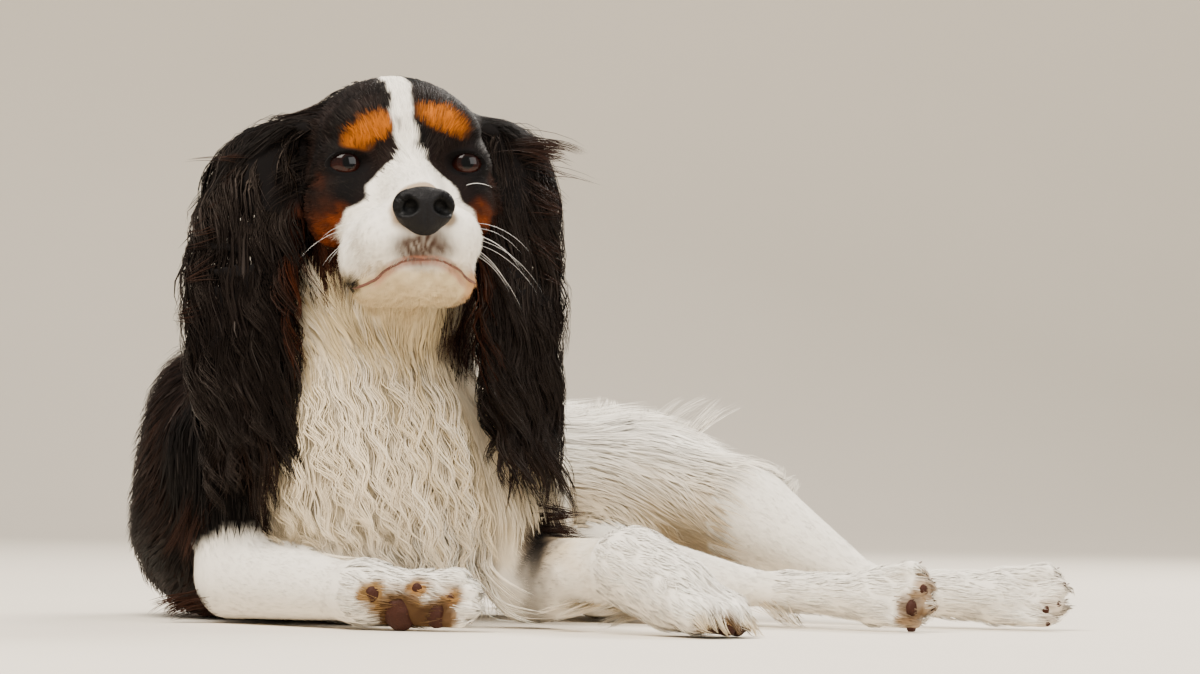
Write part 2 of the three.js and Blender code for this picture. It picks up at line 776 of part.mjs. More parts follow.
// Locks of an ear hang from its outer face, in rows that reach past the leather's end
function earLocks(ear, seed, level) {
  const draw = draws(seed);
  const whole = new THREE.CatmullRomCurve3([...ear.line, ...ear.fringe]);
  const locks = [];
  const [narrowest, widest] = EAR_LOCKS.half_width;
  const [rootRise, tipRise] = EAR_LOCKS.rise;
  const central = (EAR_LOCKS.columns - 1) / 2;
  for (let row = 0; row < EAR_LOCKS.rows; row += 1) {
    for (let column = 0; column < EAR_LOCKS.columns; column += 1) {
      const stagger = 0.22 * (row % 2 ? 1 : -1);
      const u = (column - central + stagger + draw(-0.08, 0.08)) / (central + 0.25);
      const start = EAR_LOCKS.first_row + row * EAR_LOCKS.row_step + draw(-0.02, 0.02);
      const reachDown = Math.min(start + draw(0.38, 0.46), draw(0.93, 1));
      const points = [0, 0.25, 0.5, 0.75, 1].map((share) => {
        const v = start + (reachDown - start) * share;
        const origin = whole.getPoint(v);
        const along = whole.getTangent(v);
        const flat = ear.across.clone().addScaledVector(along, -ear.across.dot(along)).normalize();
        const face = flat.clone().cross(along);
        const wide = ear.half_width * (0.9 + 0.2 * share);
        const rise = share === 0 ? 1 : rootRise + (tipRise - rootRise) * share;
        const bend = -EAR.cup * u * u;
        const wave = draw(-2, 2) * share;
        return origin.addScaledVector(flat, u * wide + wave).addScaledVector(face, rise + bend);
      });
      locks.push(lockSolid(points, ear.across, draw(narrowest, widest), level));
    }
  }
  return locks;
}

const LOCKS = new Map([
  ["ear_right", (level) => earLocks(RIGHT_EAR, SEEDS.ear_right, level)],
  ["ear_left", (level) => earLocks(LEFT_EAR, SEEDS.ear_left, level)],
]);
Object.entries(COAT).forEach(([name, patches], i) => {
  const form = FORMS[name] ?? TRUNK;
  const seed = SEEDS.patches + SEEDS.patches_per_node * i;
  LOCKS.set(name, (level) => patches.flatMap((patch, j) => patchLocks(form, patch, seed + j, level)));
});

// Nodes: a body with its locks, which give way to every other body and to the locks before them
const nodes = new Map(bodies);
const grownLocks = [];
for (const [name, make] of LOCKS) {
  const others = [...grown].filter(([other]) => other !== name).map(([, solid]) => solid);
  const coat = [...others, ...grownLocks].reduce((left, other) => left.subtract(other), join(make(0)));
  nodes.set(name, largest(bodies.get(name).add(coat)));
  grownLocks.push(join(make(GAP)));
}

// Output: each node is cut off at the floor, and the origin goes under the middle of the whole
const group = new THREE.Group();
const whole = new THREE.Box3();
for (const [name, solid] of nodes) {
  const made = largest(solid.intersect(ABOVE_FLOOR)).getMesh();
  const geometry = new THREE.BufferGeometry();
  geometry.setAttribute("position", new THREE.BufferAttribute(made.vertProperties, 3));
  geometry.setIndex(new THREE.BufferAttribute(made.triVerts, 1));
  geometry.computeBoundingBox();
  whole.union(geometry.boundingBox);
  const mesh = new THREE.Mesh(geometry, new THREE.MeshStandardMaterial({ color: COLOURS[name] ?? WHITE }));
  mesh.name = name;
  group.add(mesh);
}
const middle = whole.getCenter(point(0, 0, 0));
for (const mesh of group.children) mesh.geometry.translate(-middle.x, -middle.y, 0);

export default group;
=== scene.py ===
"""A cavalier king charles spaniel, lying, as a life-size model: skin, eyes, nose, mouth, pads and coat.

The shape is a field of forms, in the millimetres of the drawing that the solids were made from. Its
origin is under the camera's middle column: +X runs to the dog's left, +Y runs back from its face, and
the floor is at zero. The last step of each piece moves it into the frame, in metres.
"""

import math

import bmesh
import bpy
import numpy as np
from bpy.props import FloatProperty, FloatVectorProperty, IntProperty, PointerProperty
from mathutils import Matrix, Vector
from mathutils.kdtree import KDTree


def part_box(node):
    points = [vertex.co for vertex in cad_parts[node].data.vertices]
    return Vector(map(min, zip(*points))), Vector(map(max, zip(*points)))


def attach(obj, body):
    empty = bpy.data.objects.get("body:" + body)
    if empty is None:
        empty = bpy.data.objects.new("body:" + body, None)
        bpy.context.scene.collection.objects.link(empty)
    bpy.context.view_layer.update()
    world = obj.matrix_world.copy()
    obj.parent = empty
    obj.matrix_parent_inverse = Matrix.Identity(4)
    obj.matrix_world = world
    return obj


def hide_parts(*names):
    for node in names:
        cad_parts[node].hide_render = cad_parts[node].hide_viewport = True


bl_info = {
    "name": "Lying spaniel",
    "version": (1, 0, 0),
    "blender": (4, 5, 0),
    "location": "3D View > Sidebar > Spaniel",
    "description": "Skin, face, pads and coat of a lying tricolour spaniel",
    "category": "Object",
}

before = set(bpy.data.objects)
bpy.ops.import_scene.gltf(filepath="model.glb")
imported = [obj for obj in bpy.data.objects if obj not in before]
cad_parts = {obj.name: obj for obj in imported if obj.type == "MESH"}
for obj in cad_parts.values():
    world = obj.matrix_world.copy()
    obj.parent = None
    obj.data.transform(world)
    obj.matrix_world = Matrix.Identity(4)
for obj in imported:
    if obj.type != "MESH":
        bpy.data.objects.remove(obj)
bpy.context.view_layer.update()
MM = 0.001

# Named sizes of the head, as in the solids
FACE_AT = np.array([-99.6, 65.0, 233.6])
FACE_YAW, FACE_PITCH, FACE_ROLL = (math.radians(a) for a in (12.2, 7.0, 1.6))
EYE_OUT, EYE_DEPTH, EYE_RADIUS = 31.0, 6.5, 12.0
LID_RADIUS = 13.3
OPENING_OUT, OPENING_DROP, OPENING_HALF, OPENING_UPPER, OPENING_LOWER = 29.7, -0.8, 10.1, 5.5, 5.2
NOSE_DEPTH, NOSE_DROP = -47.0, -33.0
MOUTH_LINE = [(30, -8, -64.5), (26, -19, -66), (22, -28.5, -65), (17, -33.5, -60.8), (11.5, -37.5, -57)]
MOUTH_LINE += [(5, -39.5, -56), (0, -40, -55.8)]


def turned(yaw, pitch, roll):
    """Turn of the face: rows of points in its frame times this give the drawing's directions."""
    turn = Matrix.Rotation(yaw, 3, "Z") @ Matrix.Rotation(-pitch, 3, "X") @ Matrix.Rotation(-roll, 3, "Y")
    return np.array(turn).T


FACE_TURN = turned(FACE_YAW, FACE_PITCH, FACE_ROLL)


def on_face(*place):
    """From the frame of the face to the drawing."""
    return np.array(place, float) @ FACE_TURN + FACE_AT


def to_face(p):
    """From the drawing to the frame of the face, with the origin between the eyes and -Y as its gaze."""
    return (p - FACE_AT) @ FACE_TURN.T


def frame_shift():
    """From the drawing to the frame: the eyes are at the same place in both."""
    low, high = (np.array(corner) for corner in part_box("eye_right"))
    shift = (low + high) / 2 / MM - on_face(-EYE_OUT, EYE_DEPTH, 0)
    return np.array([shift[0], shift[1], 0.0])


SHIFT = frame_shift()


# Forms: each gives the distance of rows of points from a surface, negative inside
def ball(centre, radii, turn=0.0):
    """An ellipsoid, turned about the vertical."""
    centre, radii = np.array(centre, float), np.array(radii, float)
    c, s = math.cos(turn), math.sin(turn)
    unturn = np.array([[c, -s, 0], [s, c, 0], [0, 0, 1]])

    def form(p):
        q = (p - centre) @ unturn
        near = np.linalg.norm(q / radii, axis=1)
        steep = np.linalg.norm(q / radii**2, axis=1)
        return near * (near - 1) / np.maximum(steep, 1e-9)

    return form


def limb(a, b, ra, rb):
    """A tapered limb with round ends, from a to b."""
    a, b = np.array(a, float), np.array(b, float)
    along = b - a
    squared = along @ along
    taper = ra - rb
    slope = squared - taper * taper

    def form(p):
        start = p - a
        y = start @ along
        z = y - squared
        x2 = ((start * squared - along * y[:, None]) ** 2).sum(1)
        k = np.sign(taper) * taper * taper * x2
        beyond = np.sign(z) * slope * z * z * squared > k
        before = np.sign(y) * slope * y * y * squared < k
        side = (np.sqrt(x2 * slope / squared) + y * taper) / squared - ra
        end = np.sqrt(x2 + z * z * squared) / squared - rb
        root = np.sqrt(x2 + y * y * squared) / squared - ra
        return np.where(beyond, end, np.where(before, root, side))

    return form


def smooth_min(a, b, k):
    """The lesser of two distances, rounded over where they are closer than k."""
    h = np.maximum(k - np.abs(a - b), 0) / k
    return np.minimum(a, b) - h * h * k / 4


def blend(k, *forms):
    """One form of several that run into each other over about k."""

    def form(p):
        result = forms[0](p)
        for other in forms[1:]:
            result = smooth_min(result, other(p), k)
        return result

    return form


def pair(make):
    """What a function makes for the right side, -1, and for the left side, 1."""
    return [make(-1), make(1)]


def in_face(form):
    return lambda p: form(to_face(p))


def way_out(form, p, near=None, step=0.6):
    """The direction in which a form's distance grows, at rows of points."""
    near = form(p) if near is None else near
    slope = np.stack([form(p + step * axis) - near for axis in np.eye(3)], axis=1)
    return slope / np.maximum(np.linalg.norm(slope, axis=1, keepdims=True), 1e-9)


def settle(form, p, level=0.0, rounds=4):
    """Rows of points, moved to a level of a form."""
    p = np.array(p, float)
    for _ in range(rounds):
        near = form(p)
        p = p + way_out(form, p, near) * (level - near)[:, None]
    return p


def ramp(low, high, value):
    """0 at low and 1 at high, with a soft start and end. Low may be the greater."""
    t = np.clip((value - low) / (high - low), 0, 1)
    return t * t * (3 - 2 * t)


def unit(v):
    """Rows of directions, made 1 long."""
    return v / np.maximum(np.linalg.norm(v, axis=-1, keepdims=True), 1e-9)


def smooth_line(points, count):
    """A smooth curve through points, as count rows of points."""
    p = np.array(points, float)
    p = np.vstack([2 * p[0] - p[1], p, 2 * p[-1] - p[-2]])
    spans = len(p) - 3
    t = np.linspace(0, spans - 1e-6, count)
    i = t.astype(int)
    u = (t - i)[:, None]
    a, b, c, d = p[i], p[i + 1], p[i + 2], p[i + 3]
    return 0.5 * (2 * b + (c - a) * u + (2 * a - 5 * b + 4 * c - d) * u**2 + (3 * b - a - 3 * c + d) * u**3)


def nearest(p, line):
    """For rows of points, the number of the point of a line that is nearest to each."""
    return ((p[:, None] - line[None]) ** 2).sum(2).argmin(1)


# The head's forms, in the frame of the face
SKULL = blend(
    14,
    ball((0, 42, 12), (50, 52, 43)),
    ball((0, 16, 13), (38, 28, 29)),
    *pair(lambda s: ball((s * 23, 4, 18), (15, 10, 11))),
    *pair(lambda s: ball((s * 33, 20, -16), (18, 30, 24))),
    *pair(lambda s: ball((s * 38, 56, 14), (16, 20, 24))),
)
MUZZLE = blend(
    9,
    limb((0, 6, -8), (0, -33, -27), 20, 14),
    ball((0, -31, -42), (14, 20, 16)),
    *pair(lambda s: ball((s * 17, -29, -43), (16, 18, 17))),
    ball((-22.5, -9, -49), (15, 17, 20)),
    ball((19.5, -9, -49), (14, 17, 20)),
    ball((0, -2, -40), (24, 38, 22)),
    *pair(lambda s: ball((s * 20, 0, -24), (15, 16, 16))),
)
JAW = blend(
    8,
    limb((0, -26, -62), (0, 26, -50), 12, 24),
    *pair(lambda s: ball((s * 11, -20, -62), (13, 17, 11.5))),
    *pair(lambda s: ball((s * 18, -13, -63.5), (14, 16.5, 11.5))),
)
EYELIDS = pair(lambda s: ball((s * EYE_OUT, EYE_DEPTH, 0), (14, 14, 14)))
LID_SKIN = pair(lambda s: ball((s * EYE_OUT, EYE_DEPTH, 0), (LID_RADIUS, LID_RADIUS, LID_RADIUS)))
SOCKETS = pair(
    lambda s: ball((s * OPENING_OUT, -9, OPENING_DROP), (OPENING_HALF + 0.9, 14, OPENING_UPPER + 0.5))
)
HEAD = in_face(blend(4, blend(5, blend(12, SKULL, MUZZLE), JAW), *EYELIDS))

TRUNK = blend(
    34,
    ball((-112, 108, 84), (66, 56, 82)),
    ball((-108, 118, 40), (66, 60, 50)),
    ball((-163, 182, 84), (86, 96, 92)),
    ball((-176, 190, 42), (74, 88, 50)),
    ball((-92, 256, 68), (86, 62, 64), 0.45),
    ball((6, 284, 60), (78, 60, 57), 0.12),
)
NECK = blend(
    20,
    limb((-112, 122, 214), (-138, 148, 132), 46, 72),
    ball((-104, 96, 168), (36, 32, 40)),
    ball((-86, 116, 158), (34, 32, 44)),
)

# Legs: the places of five joints, with the radius of the limb at each; which way the toes lie side by side,
# which way the sole faces, how stained it is, and its pads with the size of each
LEGS = {
    "fore_right": {
        "joints": [((-188, 120, 90), 40), ((-182, 97, 23), 26), ((-114, 30, 18), 17), ((-86, 22, 15), 13)],
        "toes": ((-68, 18, 15.5), 15),
        "row": (0, 0.15, 1),
        "sole": (0.1, -1, -0.2),
        "stain": 1.0,
        "pads": [
            (-96, 16, 9, 9.4),
            (-78, 13, 8, 6.6),
            (-110, 12, 18, 4.2),
            (-88, 11, 22, 3.0),
            (-71, 10, 17, 3.0),
        ],
    },
    "fore_left": {
        "joints": [((-52, 118, 92), 38), ((-32, 92, 24), 26), ((18, 26, 33), 18), ((40, 8, 20), 17)],
        "toes": ((58, -2, 11), 21),
        "row": (0.5, 0.85, 0),
        "sole": (0, -0.35, -1),
        "stain": 0.9,
        "pads": [(48, 2, 3, 7), (64, -16, 3, 4.8), (57, -20, 4, 4.8), (69, -6, 3, 4.8), (71, 6, 3, 4.6)],
    },
    "hind_right": {
        "joints": [((2, 268, 42), 44), ((2, 196, 28), 29), ((97, 152, 19), 10.5), ((143, 127, 17), 13)],
        "toes": ((162, 117, 18), 17.5),
        "row": (0, 0.2, 1),
        "sole": (0.8, -0.6, -0.1),
        "stain": 0.75,
        "pads": [
            (161, 108, 12, 5),
            (168, 111, 22, 3.2),
            (162, 113, 4, 3.6),
            (173, 113, 13, 3.2),
            (172, 116, 30, 2.8),
        ],
    },
    "hind_left": {
        "joints": [((24, 264, 70), 41), ((80, 236, 58), 30), ((150, 196, 19), 12.0), ((212, 178, 17), 14)],
        "toes": ((236, 172, 17), 17),
        "row": (0.1, 0.25, 1),
        "sole": (0.7, -0.6, -0.4),
        "stain": 0.35,
        "pads": [
            (236, 161, 11, 3.0),
            (243, 165, 14, 1.9),
            (238, 164, 4, 1.9),
            (248, 168, 9, 1.8),
            (246, 170, 24, 1.8),
        ],
    },
}
for leg in LEGS.values():
    leg["joints"].append(leg["toes"])
    leg["pads"] = [(pad[:3], pad[3]) for pad in leg["pads"]]
TAIL_LINE = [(44, 326, 52), (40, 362, 34), (0, 388, 20), (-60, 396, 15)]
EARS = {
    "ear_right": {
        "line": [
            (-146, 100, 258),
            (-165, 98, 250),
            (-178, 90, 218),
            (-185, 82, 172),
            (-182, 77, 132),
            (-178, 74, 104),
        ],
        "fringe": [(-175, 71, 84), (-171, 68, 64)],
        "across": (-0.95, 0.3, 0),
        "root_across": (-0.3, 0.95, 0),
        "half_width": 30,
    },
    "ear_left": {
        "line": [
            (-66, 112, 258),
            (-47, 110, 251),
            (-40, 102, 218),
            (-38, 94, 172),
            (-38, 86, 132),
            (-36, 82, 104),
        ],
        "fringe": [(-33, 77, 84), (-30, 72, 64)],
        "across": (-0.7, -0.72, 0),
        "root_across": (0, -1, 0),
        "half_width": 27,
    },
}
EAR_SKIN, EAR_CUP = 3.2, 5.0


def toe_tips(leg):
    """The starts and tips of the four toes of a foot, and their radius."""
    (knuckles, knuckle_radius), (toes, spread) = leg["joints"][3:]
    knuckles, toes = np.array(knuckles, float), np.array(toes, float)
    along = unit(toes - knuckles)
    across = unit(np.array(leg["row"], float))
    found = []
    for share in (-1.5, -0.5, 0.5, 1.5):
        longer = 6 if abs(share) < 1 else 0
        tip = toes + across * share * spread * 0.5 + along * longer
        found.append((knuckles + across * share * knuckle_radius * 0.4, tip))
    return found, spread * 0.4


def leg_forms(leg):
    """The forms of a leg's upper part, its lower part and its foot."""
    joints = leg["joints"]
    bones = [limb(*(joints[i][0], joints[i + 1][0], joints[i][1], joints[i + 1][1])) for i in range(3)]
    toes, radius = toe_tips(leg)
    foot = blend(7, bones[2], blend(2.5, *(limb(a, b, radius, radius) for a, b in toes)))
    return bones[0], bones[1], foot


def tail_form():
    radii = [15 - 5 * i / 3 for i in range(4)]
    return blend(6, *(limb(TAIL_LINE[i], TAIL_LINE[i + 1], radii[i], radii[i + 1]) for i in range(3)))


def ear_frames(ear, count=40, fringe=False):
    """Rows down the ear: middle, direction down, direction across, outward face and half width."""
    line = smooth_line(ear["line"] + (ear["fringe"] if fringe else []), count)
    along = unit(np.gradient(line, axis=0))
    share = np.linspace(0, 1 if not fringe else 1.3, count)
    hung = ramp(0.05, 0.3, share)[:, None]
    across = np.array(ear["root_across"]) * (1 - hung) + np.array(ear["across"]) * hung
    flat = unit(across - along * (along * across).sum(1, keepdims=True))
    face = np.cross(flat, along)
    wide = ear["half_width"] * (0.35 + 0.65 * np.sin(math.pi * (0.12 + 0.66 * np.minimum(share, 1))))
    return line, along, flat, face, wide


def ear_form(ear):
    """An ear: a thin, cupped flap along its line. Far from it, only the distance of its box is given."""
    line, along, flat, face, wide = ear_frames(ear)
    low, high = line.min(0) - 45, line.max(0) + 45

    def form(p):
        outside = np.linalg.norm(np.maximum(np.maximum(low - p, p - high), 0), axis=1)
        result = outside + 10
        inside = np.nonzero(outside <= 0)[0]
        for chunk in np.array_split(inside, max(1, len(inside) // 20000)):
            q = p[chunk]
            near = nearest(q, line)
            off = q - line[near]
            down = (off * along[near]).sum(1)
            u = (off * flat[near]).sum(1)
            w = (off * face[near]).sum(1) + EAR_CUP * np.minimum(np.abs(u) / wide[near], 1.2) ** 2
            past = np.where((near == 0) | (near == len(line) - 1), np.abs(down), 0)
            side = np.maximum(np.abs(u) - wide[near] + EAR_SKIN, 0)
            result[chunk] = np.sqrt(side**2 + w**2 + past**2) - EAR_SKIN
        return result

    return form


def near_line(p, points):
    """Distance of rows of points from a line through points."""
    points = np.array(points, float)
    best = np.full(len(p), 1e9)
    for a, b in zip(points[:-1], points[1:]):
        t = np.clip(((p - a) @ (b - a)) / ((b - a) @ (b - a)), 0, 1)
        best = np.minimum(best, np.linalg.norm(p - a - t[:, None] * (b - a), axis=1))
    return best


def mouth_points():
    """The line of the mouth on the skin, from its left corner to its right one."""
    half = np.array(MOUTH_LINE, float)
    whole = np.vstack([half, (half * [-1, 1, 1])[::-1][1:]])
    return smooth_line(settle(HEAD, whole @ FACE_TURN + FACE_AT), 49)


MOUTH = mouth_points()


def coat_depth_on_head(p):
    q = to_face(p)
    return 1.5 + 2.5 * ramp(-20, 45, q[:, 1]) * ramp(-60, 10, q[:, 2])


# Parts of the body with how deep their skin lies under the outline of the short coat
PARTS = {
    "head": (HEAD, coat_depth_on_head),
    "neck": (NECK, 10.0),
    "trunk": (TRUNK, 9.0),
    "tail": (tail_form(), 6.0),
}
for leg_name, leg in LEGS.items():
    foot_depth = -1.5 if leg_name == "fore_left" else 1.2
    for form, ending, depth in zip(leg_forms(leg), ("_upper", "_lower", "_foot"), (8.0, 4.0, foot_depth)):
        PARTS[leg_name + ending] = (form, depth)
for ear_name, ear in EARS.items():
    PARTS[ear_name] = (ear_form(ear), 0.0)
PART_NAMES = list(PARTS)


# How widely parts of the skin run into each other, and how far above the floor it ends
JOIN, EAR_JOIN, LID_JOIN, SKIN_END = 9, 4, 3, 2.0


def part_distances(p):
    """Distances of rows of points from the skin of each part alone, one row for each part."""
    rows = []
    for form, depth in PARTS.values():
        rows.append(form(p) + (depth(p) if callable(depth) else depth))
    return np.stack(rows)


def skin_distance(p):
    """Distance from the skin of the whole body, its lids shut, which stops a little above the floor."""
    rows = part_distances(p)
    body = rows[0]
    for name, row in zip(PART_NAMES[1:], rows[1:]):
        body = smooth_min(body, row, EAR_JOIN if name.startswith("ear") else JOIN)
    q = to_face(p)
    for lid in LID_SKIN:
        body = smooth_min(body, lid(q), LID_JOIN)
    lips = np.nonzero((np.abs(q[:, 0]) < 38) & (np.abs(q[:, 1] + 22) < 26) & (np.abs(q[:, 2] + 60) < 12))[0]
    if len(lips):
        gap = near_line(p[lips], MOUTH)
        body[lips] += 1.7 * np.exp(-((gap / 1.3) ** 2)) - 0.5 * np.exp(-(((gap - 3.2) / 1.6) ** 2))
    return -smooth_min(-body, p[:, 2] - SKIN_END, 3)


# Colours
def srgb(value):
    """The three numbers of a colour written as a hex string."""
    return tuple(int(value[i : i + 2], 16) / 255 for i in (1, 3, 5))


def linear(value):
    """sRGB, as a hex string or as a property's three numbers, to linear."""
    c = np.array(srgb(value) if isinstance(value, str) else value, float)
    return np.where(c <= 0.04045, c / 12.92, ((c + 0.055) / 1.055) ** 2.4)


def scale_of(name, text, default, low, high, subtype="NONE"):
    settings = {"default": default, "min": low, "max": high, "subtype": subtype}
    return FloatProperty(name=name, description=text, **settings)


def colour_of(name, value):
    text = f"Colour of the {name[0].lower()}{name[1:]}"
    settings = {"subtype": "COLOR_GAMMA", "default": srgb(value), "min": 0, "max": 1}
    return FloatVectorProperty(name=name, description=text, **settings)


class SpanielSizes(bpy.types.PropertyGroup):
    """Sizes of the skin's mesh and of the coat."""

    skin_voxel: scale_of("Skin voxel", "Size of the skin's mesh in millimetres", 2.6, 1, 6)
    strand_share: scale_of("Strand share", "Share of the coat's strands made", 1.0, 0.05, 1, "FACTOR")
    coat_length: scale_of("Coat length", "Scale of all hair lengths", 1.0, 0.5, 1.5, "FACTOR")
    whisker_length: scale_of("Whisker length", "Longest whisker in millimetres", 52, 10, 80)
    seed: IntProperty(name="Seed", description="Seed of the coat's random draws", default=7, min=0)


class SpanielColours(bpy.types.PropertyGroup):
    """Colours of the coat, the bare skin, the eyes and the floor."""

    white: colour_of("White coat", "#f4ecdd")
    cream: colour_of("Cream of the chest", "#cdb68c")
    black: colour_of("Black coat", "#080606")
    brown: colour_of("Sunned brown of black hair", "#321e16")
    tan: colour_of("Tan of the brows", "#a85a08")
    rust: colour_of("Rust of the cheeks", "#6c2f08")
    dark_rust: colour_of("Rust in the shade of the ears", "#3e1d0e")
    beard: colour_of("Short beard round the mouth", "#453329")
    stain: colour_of("Stained paw hair", "#86673f")
    nose: colour_of("Nose leather", "#090708")
    lip: colour_of("Lip", "#a9705c")
    lip_edge: colour_of("Edge of the lips", "#644238")
    pad: colour_of("Paw pad", "#33190f")
    iris: colour_of("Iris", "#30120a")
    floor: colour_of("Floor", "#e2d8c8")


def colour(name):
    """One of the model's colours, in linear light."""
    return linear(list(getattr(bpy.context.scene.spaniel_colours, name)))


def waves(p, size, seed=0):
    """A smooth random field from -1 to 1, with features of the given size in millimetres."""
    rng = np.random.default_rng(900 + seed)
    total = np.zeros(len(p))
    for _ in range(7):
        way = unit(rng.normal(size=3)) * (2 * math.pi / size) * rng.uniform(0.6, 1.5)
        total += np.sin(p @ way + rng.uniform(0, 7))
    return total / 3.4


def all_in(name, p):
    """Rows of one colour, as many as there are points."""
    return np.tile(colour(name), (len(p), 1))


def paint(tones, *coats):
    """Lays colours over rows of colours, one after the other, each by its share."""
    for name, share in coats:
        share = np.clip(share, 0, 1)[:, None]
        tones = tones * (1 - share) + colour(name) * share
    return tones


def spot(q, centre, radii, soft=0.25):
    """1 in an ellipsoid and 0 outside it, with a soft edge."""
    return 1 - ramp(1 - soft, 1 + soft, np.linalg.norm((q - np.array(centre)) / np.array(radii), axis=1))


def pair_spot(q, centre, radii, soft=0.25):
    x, y, z = centre
    return np.maximum(spot(q, (x, y, z), radii, soft), spot(q, (-x, y, z), radii, soft))


# The white of the face: half its width at heights in the frame of the face, from the flews up to the blaze
WHITE_HEIGHTS = [-52, -42, -33, -27, -22, -12, -6, 0, 6, 24, 46]
WHITE_HALVES = [60, 39, 36, 32, 27, 21, 14, 8, 4.6, 5, 6.5]


def head_markings(p):
    """Black, with rust cheeks, tan brows, a white blaze and muzzle, and stains round nose and lips."""
    q = to_face(p)
    q = q + 1.3 * np.stack([waves(p, 14, i) for i in range(3)], axis=1)
    x, y, z = q.T
    streaks = 0.7 + 0.4 * waves(q * [1, 0.35, 1], 7, 14)
    tilted = np.stack([x, y, z + 0.3 * np.abs(x)], axis=1)
    right_brow = spot(tilted, (-18, -2, 21), (12.6, 22, 7.6), 0.38)
    left_brow = spot(tilted, (18.5, -2, 27), (12.2, 22, 7.0), 0.38)
    brows = np.maximum(right_brow, left_brow) * (0.9 + 0.15 * waves(q * [1, 0.3, 0.6], 5, 15))
    half = np.interp(z, WHITE_HEIGHTS, WHITE_HALVES)
    middle = -2.0 * ramp(0, 14, z)
    white = 1 - ramp(-1.3, 1.3, np.abs(x - middle) - half)
    white *= 1 - ramp(52, 68, y)
    cheek = ramp(3, 10, y - 0.4 * np.maximum(-z - 50, 0)) * ramp(4, -8, z)
    white *= 1 - cheek
    white = np.maximum(white, ramp(-56, -61, z) * (1 - ramp(4, 16, y) * ramp(22, 34, np.abs(x))))
    chin = ramp(-55, -63, z)
    near_nose = np.linalg.norm((q - [0, NOSE_DEPTH + 2, NOSE_DROP + 1.5]) / [17.4, 14, 15.6], axis=1)
    beard = spot(q, (0, -44, -50), (15.5, 18, 8.8), 0.5)
    edge = (1 - ramp(1.0, 4.5, near_line(p, MOUTH))) * ramp(-68, -58, z)
    corner = spot(q, (-30.5, -11, -63), (5.4, 12, 4.6), 0.3)
    return paint(
        all_in("black", p),
        ("brown", 0.1 + 0.1 * waves(p, 20, 5)),
        # The darker rust at the back of the cheeks, under the ears, is partly the coat's own tone, partly
        # painted shade
        ("dark_rust", streaks * pair_spot(q, (41, 12, -42), (15, 28, 24), 0.4)),
        ("rust", streaks * spot(q, (-36, 5, -36), (9.5, 20, 13.5), 0.45)),
        ("rust", streaks * spot(q, (36, 5, -33), (8.5, 20, 14), 0.45)),
        ("rust", 0.1 * pair_spot(q, (44, 4, -9), (4, 8, 4), 0.5)),
        ("tan", brows),
        ("white", white),
        ("cream", 0.95 * chin * white),
        ("stain", 0.16 * chin * white * (1 + waves(q, 9, 22))),
        ("stain", 0.8 * (1 - ramp(0.92, 1.1, near_nose)) * ramp(-44, -38, z)),
        ("beard", beard * (0.93 + 0.12 * waves(q * [1, 0.4, 0.4], 3, 23))),
        ("beard", edge * (0.4 + 0.2 * waves(p, 3, 16))),
        ("black", 0.6 * spot(q, (-4, -12, 18), (1.6, 10, 4), 0.6)),
        ("black", corner * (0.95 + 0.3 * waves(q, 4, 17))),
        ("rust", 0.9 * spot(q, (26, -2, -71), (10, 14, 7), 0.5) * streaks),
        ("tan", 0.55 * spot(q, (28, -17, -65), (7, 12, 7), 0.6)),
        ("stain", 0.35 * spot(q, (-29, -26, -47), (3.5, 8, 4), 0.6)),
    )


# The dark band between the chest and the left foreleg, and the tuft over the elbow, seen from the front
ARM_BAND = [(-21, 0, 60), (-27, 0, 51), (-31, 0, 36), (-32.5, 0, 20), (-31, 0, 5)]
ARM_TUFT = [(-26, 0, 60), (-8, 0, 60), (8, 0, 62), (19, 0, 63)]


def body_markings(p):
    """White, with a cream chest, a black saddle over the right side and dark hair beside the left foreleg. The
    belly's underside is cream and stained, partly its own stain and partly painted shade.
    """
    x, y, z = p.T
    wobble = 7 * waves(p, 60, 8) + 2.5 * waves(p, 15, 9)
    chest = (1 - ramp(85, 120, y)) * (1 - ramp(-20, 10, x)) * ramp(10, 50, z)
    # under: the lower, back underside of the belly, painted cream and stained: partly the coat's own stain,
    # partly painted shade under the body
    under = ramp(78, 34, z - 0.1 * y) * ramp(140, 190, y) * (1 - ramp(262, 296, y)) * ramp(-130, -70, x)
    saddle = ramp(-4, 4, -170 - x + 0.62 * np.maximum(y - 88, 0) - 0.9 * np.maximum(y - 205, 0) + wobble)
    saddle *= ramp(58, 68, y) * (1 - ramp(252, 262, y + 0.4 * x + 60 + wobble))
    front = 1 - ramp(98, 114, y)
    band = near_line(p * [1, 0, 1], ARM_BAND) + 2.2 * waves(p, 14, 18)
    fading = front * (0.4 + 0.6 * ramp(14, 46, z))
    tuft = near_line(p * [1, 0, 1], ARM_TUFT) + 1.6 * waves(p, 12, 19)
    return paint(
        all_in("white", p),
        # The chest's cream deepens high on the throat, under the head: partly the coat's own cream, partly
        # painted shade
        ("cream", chest * (0.75 + 0.25 * ramp(120, 175, z) + 0.2 * waves(p, 18, 3))),
        # Partly real cream, partly painted shade: the underside of the belly
        ("cream", 0.7 * under * (1 - ramp(90, 150, x))),
        ("black", saddle),
        ("brown", 0.4 * saddle * (0.5 + 0.5 * waves(p, 25, 4))),
        ("white", 0.75 * spot(p, (-214, 160, 168), (24, 34, 24), 0.4)),
        ("brown", 0.85 * fading * (1 - ramp(4, 14, band))),
        ("black", fading * (1 - ramp(1, 8, band))),
        ("brown", 0.9 * front * (1 - ramp(5, 9, tuft))),
        ("black", front * (1 - ramp(4, 7, tuft)) * (1 - ramp(-6, 4, x))),
        ("stain", 0.6 * front * (1 - ramp(5, 9, tuft)) * ramp(-2, 8, x)),
        # Partly real stain, partly painted shade: the underside of the belly
        ("stain", 0.22 * under * (1 - ramp(80, 135, x))),
        ("brown", spot(p, (-64, 84, 168), (12, 22, 34), 0.4)),
    )


